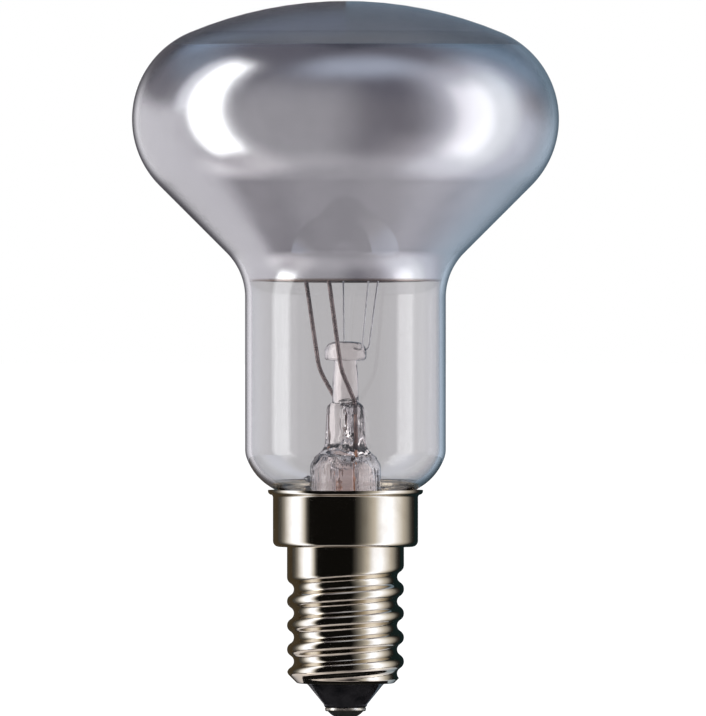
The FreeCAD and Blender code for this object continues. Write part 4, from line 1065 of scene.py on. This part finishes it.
lamp("key_lamp", (-0.5, -0.35, 0.3), 0.4, 0.5, 5.0)
lamp("fill_lamp", (0.55, -0.25, 0.25), 0.4, 0.5, 2.5)
print("Lit the studio with a world and", len(bpy.data.lights), "lamps")

# %% [markdown]
# The floor is pale paper, which neither reflections nor rays through the glass see. For the eye most of its
# white is its own, so that it meets the background without a line; the rest is lit, and so it keeps the
# bulb's shadow.


# %% Lay the floor
def emission(tree, colour, strength=1.0):
    """Light that a surface gives by itself."""
    return out(tree, "ShaderNodeEmission", {"Color": colour, "Strength": strength})


FLOOR_GLOW = 0.85
corners = [(-6000, -6000, 0), (6000, -6000, 0), (6000, 14000, 0), (-6000, 14000, 0)]
floor = new_object("floor", new_mesh("floor", corners, [], [(0, 1, 2, 3)]))
floor.location.z = -0.00002
paper, tree, shader = new_finish("floor_paper", Roughness=0.9)
shader.inputs["Base Color"].default_value = (0.82, 0.82, 0.82, 1.0)
own = emission(tree, (1.0, 1.0, 1.0, 1.0), 1.15)
part_own = calc(tree, "MULTIPLY", looked_at(tree), FLOOR_GLOW)
mixed = add_node(tree, "ShaderNodeMixShader", {0: part_own, 1: shader.outputs[0], 2: own})
tree.links.new(mixed.outputs[0], tree.nodes["Material Output"].inputs[0])
floor.data.materials.append(paper)
hide_from(floor, "glossy", "transmission")
floor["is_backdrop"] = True
print("Laid a floor", floor.dimensions.x, "m wide")

# %% [markdown]
# The tent is one round dome with its panels drawn by bearing and height. Bearing 0 is towards the
# camera and grows to the right. Each panel is a product of two soft-edged windows, and a lean tilts
# it.


# %% Hang the tent
def glow_paint(name):
    """A material with an empty tree, for paint that is seen but isn't sampled as a lamp."""
    paint = bpy.data.materials.new(name)
    paint.use_nodes = True
    paint.node_tree.nodes.clear()
    paint.cycles.emission_sampling = "NONE"
    return paint, paint.node_tree


def round_about(tree):
    """The bearing of a point in degrees, nought before the camera and growing to the right."""
    x, y, z = object_place(tree)
    return calc(tree, "DEGREES", calc(tree, "ARCTAN2", x, calc(tree, "MULTIPLY", y, -1.0)))


TENT = 0.7
tent = turned("light_tent", half_round(TENT / MM, TENT / MM, 5), 72, closed=False)
tent_paint, tree = glow_paint("tent_panels")
tent.data.materials.append(tent_paint)
hide_from(tent, "camera", "diffuse", "shadow")
tent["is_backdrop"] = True
bearing = round_about(tree)
sine = calc(tree, "DIVIDE", object_place(tree)[2], TENT)
climb = calc(tree, "DEGREES", calc(tree, "ARCSINE", sine))
print("The tent is", 2 * TENT, "m across")


# %% Paint its panels
def window(pattern, low, high, soft):
    """One inside a span and nought outside it, with soft edges."""
    rise = {"Value": pattern, "From Min": low - soft, "From Max": low + soft}
    fall = {"Value": pattern, "From Min": high - soft, "From Max": high + soft, "To Min": 1.0, "To Max": 0.0}
    edges = []
    for span in (rise, fall):
        edge = add_node(tree, "ShaderNodeMapRange", span, interpolation_type="SMOOTHSTEP")
        edges.append(edge.outputs[0])
    return calc(tree, "MULTIPLY", *edges)


PANELS = [
    ("back", (-200, 200, 1), (-91, 91, 1), 0.0, (0.055, 0.055, 0.075)),
    ("back_left", (-200, -145, 10), (36, 72, 9), 0.0, (0.15, 0.2, 0.3)),
    ("back_right", (130, 200, 10), (16, 72, 12), 0.0, (0.08, 0.13, 0.18)),
    ("walls", (-148, 138, 14), (-91, 91, 1), 0.0, (0.11, 0.105, 0.125)),
    ("ground", (-200, 200, 1), (-91, 26, 14), 0.0, (0.06, 0.055, 0.05)),
    ("front_left", (-65, 4, 18), (-56, 46, 16), 0.06, (0.275, 0.273, 0.278)),
    ("left_strip", (-93, -68, 2), (-31, 57, 5), -0.15, (2.7, 2.75, 2.8)),
    ("left_edge", (-104, -94, 4), (12, 57, 5), -0.15, (0.9, 0.92, 1.0)),
    ("left_wall", (-160, -97, 9), (-47, 14, 6), -0.06, (0.61, 0.603, 0.63)),
    ("left_low", (-112, -52, 12), (-58, -32, 7), 0.0, (0.4, 0.38, 0.39)),
    ("right_sheet", (53, 116, 18), (-60, 54, 14), -0.03, (0.64, 0.66, 0.74)),
    ("right_core", (74, 106, 8), (-42, 39, 12), 0.09, (0.42, 0.46, 0.44)),
    ("right_bar", (63, 88, 3), (-34, 36, 8), 0.0, (0.72, 0.7, 0.72)),
    ("right_wall", (111, 158, 12), (-46, 8, 10), -0.03, (0.34, 0.39, 0.46)),
    ("teal_edge", (138, 200, 10), (-60, 20, 12), 0.0, (0.0, 0.05, 0.08)),
    ("right_low", (26, 70, 14), (-52, -18, 14), 0.03, (0.2, 0.19, 0.2)),
    ("top_band", (-40, 62, 30), (54, 78, 11), 0.07, (0.42, 0.48, 0.58)),
    ("upper_left", (-160, -112, 8), (34, 54, 9), 0.02, (0.1, 0.15, 0.2)),
    ("upper_right", (100, 146, 14), (22, 60, 12), 0.01, (0.06, 0.12, 0.18)),
    ("low_sheet", (-104, 111, 20), (-93, -46, 12), 0.0, (0.31, 0.305, 0.315)),
]
total = (0.0, 0.0, 0.0)
for name, across, upright_span, lean, colour in PANELS:
    leaning = calc(tree, "SUBTRACT", bearing, calc(tree, "MULTIPLY", climb, lean))
    lit = calc(tree, "MULTIPLY", window(leaning, *across), window(climb, *upright_span))
    total = vector_sum(tree, total, scaled(tree, colour, lit))
print("The tent has", len(PANELS), "panels")

# %% [markdown]
# Light Path knows a ray's history. A ray that has been mirrored sees the panels. One that has only
# passed the thin glass sees an even grey, as of a sheet of card behind the bulb. One that has gone
# through five surfaces or more was bent by the solid stem: behind on the right it meets a brighter
# card, and sideways the panels, which puts the bright streaks into the stem.

# %% Choose what each ray sees of the tent
panels = emission(tree, total)
path = add_node(tree, "ShaderNodeLightPath").outputs
deep = calc(tree, "GREATER_THAN", path["Transmission Depth"], 4.5)
behind = calc(tree, "MULTIPLY", deep, window(bearing, 128, 165, 5))
brighter = calc(tree, "ADD", 1.0, calc(tree, "MULTIPLY", behind, 0.8))
grey_card = emission(tree, (0.54, 0.532, 0.55, 1.0), brighter)
shallow = calc(tree, "SUBTRACT", 1.0, calc(tree, "MULTIPLY", deep, 0.55))
mirrored = calc(tree, "MULTIPLY", calc(tree, "MINIMUM", path["Glossy Depth"], 1.0), shallow)
sideways = between(tree, calc(tree, "ABSOLUTE", bearing), 0.75, 0.0, 105.0, 150.0)
mirrored = calc(tree, "MAXIMUM", mirrored, calc(tree, "MULTIPLY", deep, sideways))
shown = out(tree, "ShaderNodeMixShader", {0: mirrored, 1: grey_card, 2: panels})
add_node(tree, "ShaderNodeOutputMaterial", {0: shown})
print("The tent's paint has", len(tree.nodes), "nodes")

# %% [markdown]
# Metal between bright panels looks flat until something dark stands close to it. So cards stand
# round the cap and lie under it. Only what shines meets them: they are drawn for reflected rays
# alone. A card is upright and bent round the axis, or a flat ring or disc.

# %% Cut the cards
COLLAR_RADIUS = 20.0
COLLAR_TOP = 28.3


def card(name, points, faces, shade):
    """A sheet of card that only reflections see; shade is its colour or paints its tree."""
    sheet = new_object(name, new_mesh(name, points, [], faces))
    paint, tree = glow_paint(name + "_paint")
    colour = shade(tree) if callable(shade) else shade + (1.0,)
    add_node(tree, "ShaderNodeOutputMaterial", {0: emission(tree, colour)})
    sheet.data.materials.append(paint)
    hide_from(sheet, "camera", "diffuse", "shadow", "transmission")
    sheet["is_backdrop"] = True


def collar(first, last, steps=24):
    """Points and faces of an upright strip round the axis between two bearings."""
    points = []
    for index in range(steps + 1):
        foot = polar(COLLAR_RADIUS, first - 90.0 + (last - first) * index / steps, 0.0)
        points.extend((foot, foot + Vector((0.0, 0.0, COLLAR_TOP))))
    return points, [(2 * i, 2 * i + 2, 2 * i + 3, 2 * i + 1) for i in range(steps)]


def ring(inner, outer, height, steps=48):
    """Points and faces of a flat ring, or of a disc where inner is nought."""
    rims = []
    for radius in (inner, outer):
        rims.append([polar(radius, 360.0 * index / steps, height) for index in range(steps)])
    if not inner:
        return rims[1], [tuple(range(steps))]
    low = list(range(steps))
    return rims[0] + rims[1], band(low, [number + steps for number in low])


# %% [markdown]
# The collar before the cap is black towards the camera and white on both sides, with the left edge
# sharp and the right one slow. Each shade belongs to a bearing, and the brighter ones are cooler.
# Two dark cards stand behind the cap, a dark disc lies under its tip, and a dark ring round that one
# puts a line under each turn of the thread.

# %% Paint the collar and stand the cards
SHADES = [
    (-112, 0.06), (-103, 0.1), (-94, 0.35), (-84, 1.15), (-74, 1.7), (-62, 1.5), (-56, 0.9), (-51, 0.1),
    (-47, 0.006), (11, 0.006), (18, 0.09), (27, 0.3), (38, 0.75), (49, 1.5), (62, 1.7), (74, 1.15),
    (86, 0.65), (95, 0.38), (104, 0.1), (112, 0.02),
]


def painted(tree):
    """The collar's grey by bearing, from the list of shades; the ramp holds half of each."""
    stops = []
    for angle, shade in SHADES:
        cool = min(max((shade - 0.75) / 0.8, 0.0), 1.0)
        colour = (0.5 * shade, (0.495 + 0.06 * cool) * shade, (0.485 + 0.2 * cool) * shade)
        stops.append(((angle + 120.0) / 240.0, colour))
    along = between(tree, round_about(tree), 0.0, 1.0, -120.0, 120.0)
    return scaled(tree, shades(tree, along, stops), 2.0)


card("front_collar", *collar(-112, 118, 60), painted)
card("right_card", *collar(118, 178), (0.01, 0.02, 0.022))
card("left_card", *collar(-178, -112), (0.07, 0.055, 0.035))
card("ring_card", *ring(17.0, 22.5, -0.1), (0.03, 0.03, 0.03))
card("foot_card", *ring(0.0, 9.0, -0.1), (0.008, 0.008, 0.008))
card("tip_card", *ring(0.0, 5.0, -0.05), (0.03, 0.03, 0.03))
print("Stood six cards round the cap, the tallest", COLLAR_TOP, "mm high")

# %% [markdown]
# ## The camera
#
# The photograph looks straight at the bulb's neck from far away: the rims of the cap and of the
# mirror are almost straight lines. A very long lens at a metre and a half gives the same. It is set
# for a frame of 706 by 716 whose width is the sensor's.

# %% Place the camera
SENSOR = 36.0
LENS = 653.2
AWAY = 1.5
ASIDE = 0.00088
camera = new_object("camera", bpy.data.cameras.new("camera"))
camera.data.sensor_fit = "HORIZONTAL"
camera.data.sensor_width = SENSOR
camera.data.lens = LENS
camera.location = (ASIDE, -AWAY, 0.046)
aim = Vector((ASIDE, 0.0, 0.0423))
camera.rotation_euler = (aim - camera.location).to_track_quat("-Z", "Y").to_euler()
scene.camera = camera
print("The camera sees", round(AWAY / MM * SENSOR / LENS, 1), "mm across")

# %% [markdown]
# ## Sizes and the end
#
# The dressed bulb has to fill the same box as its solids. Both boxes are printed and gathered in one
# dictionary, so that they can be compared after every change.

# %% Gather the sizes and finish
dressed_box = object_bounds()
sizes = {
    "solids": [list(corner) for corner in solid_box],
    "dressed": [list(corner) for corner in dressed_box],
}
print("The dressed bulb reaches from", dressed_box[0], "to", dressed_box[1])
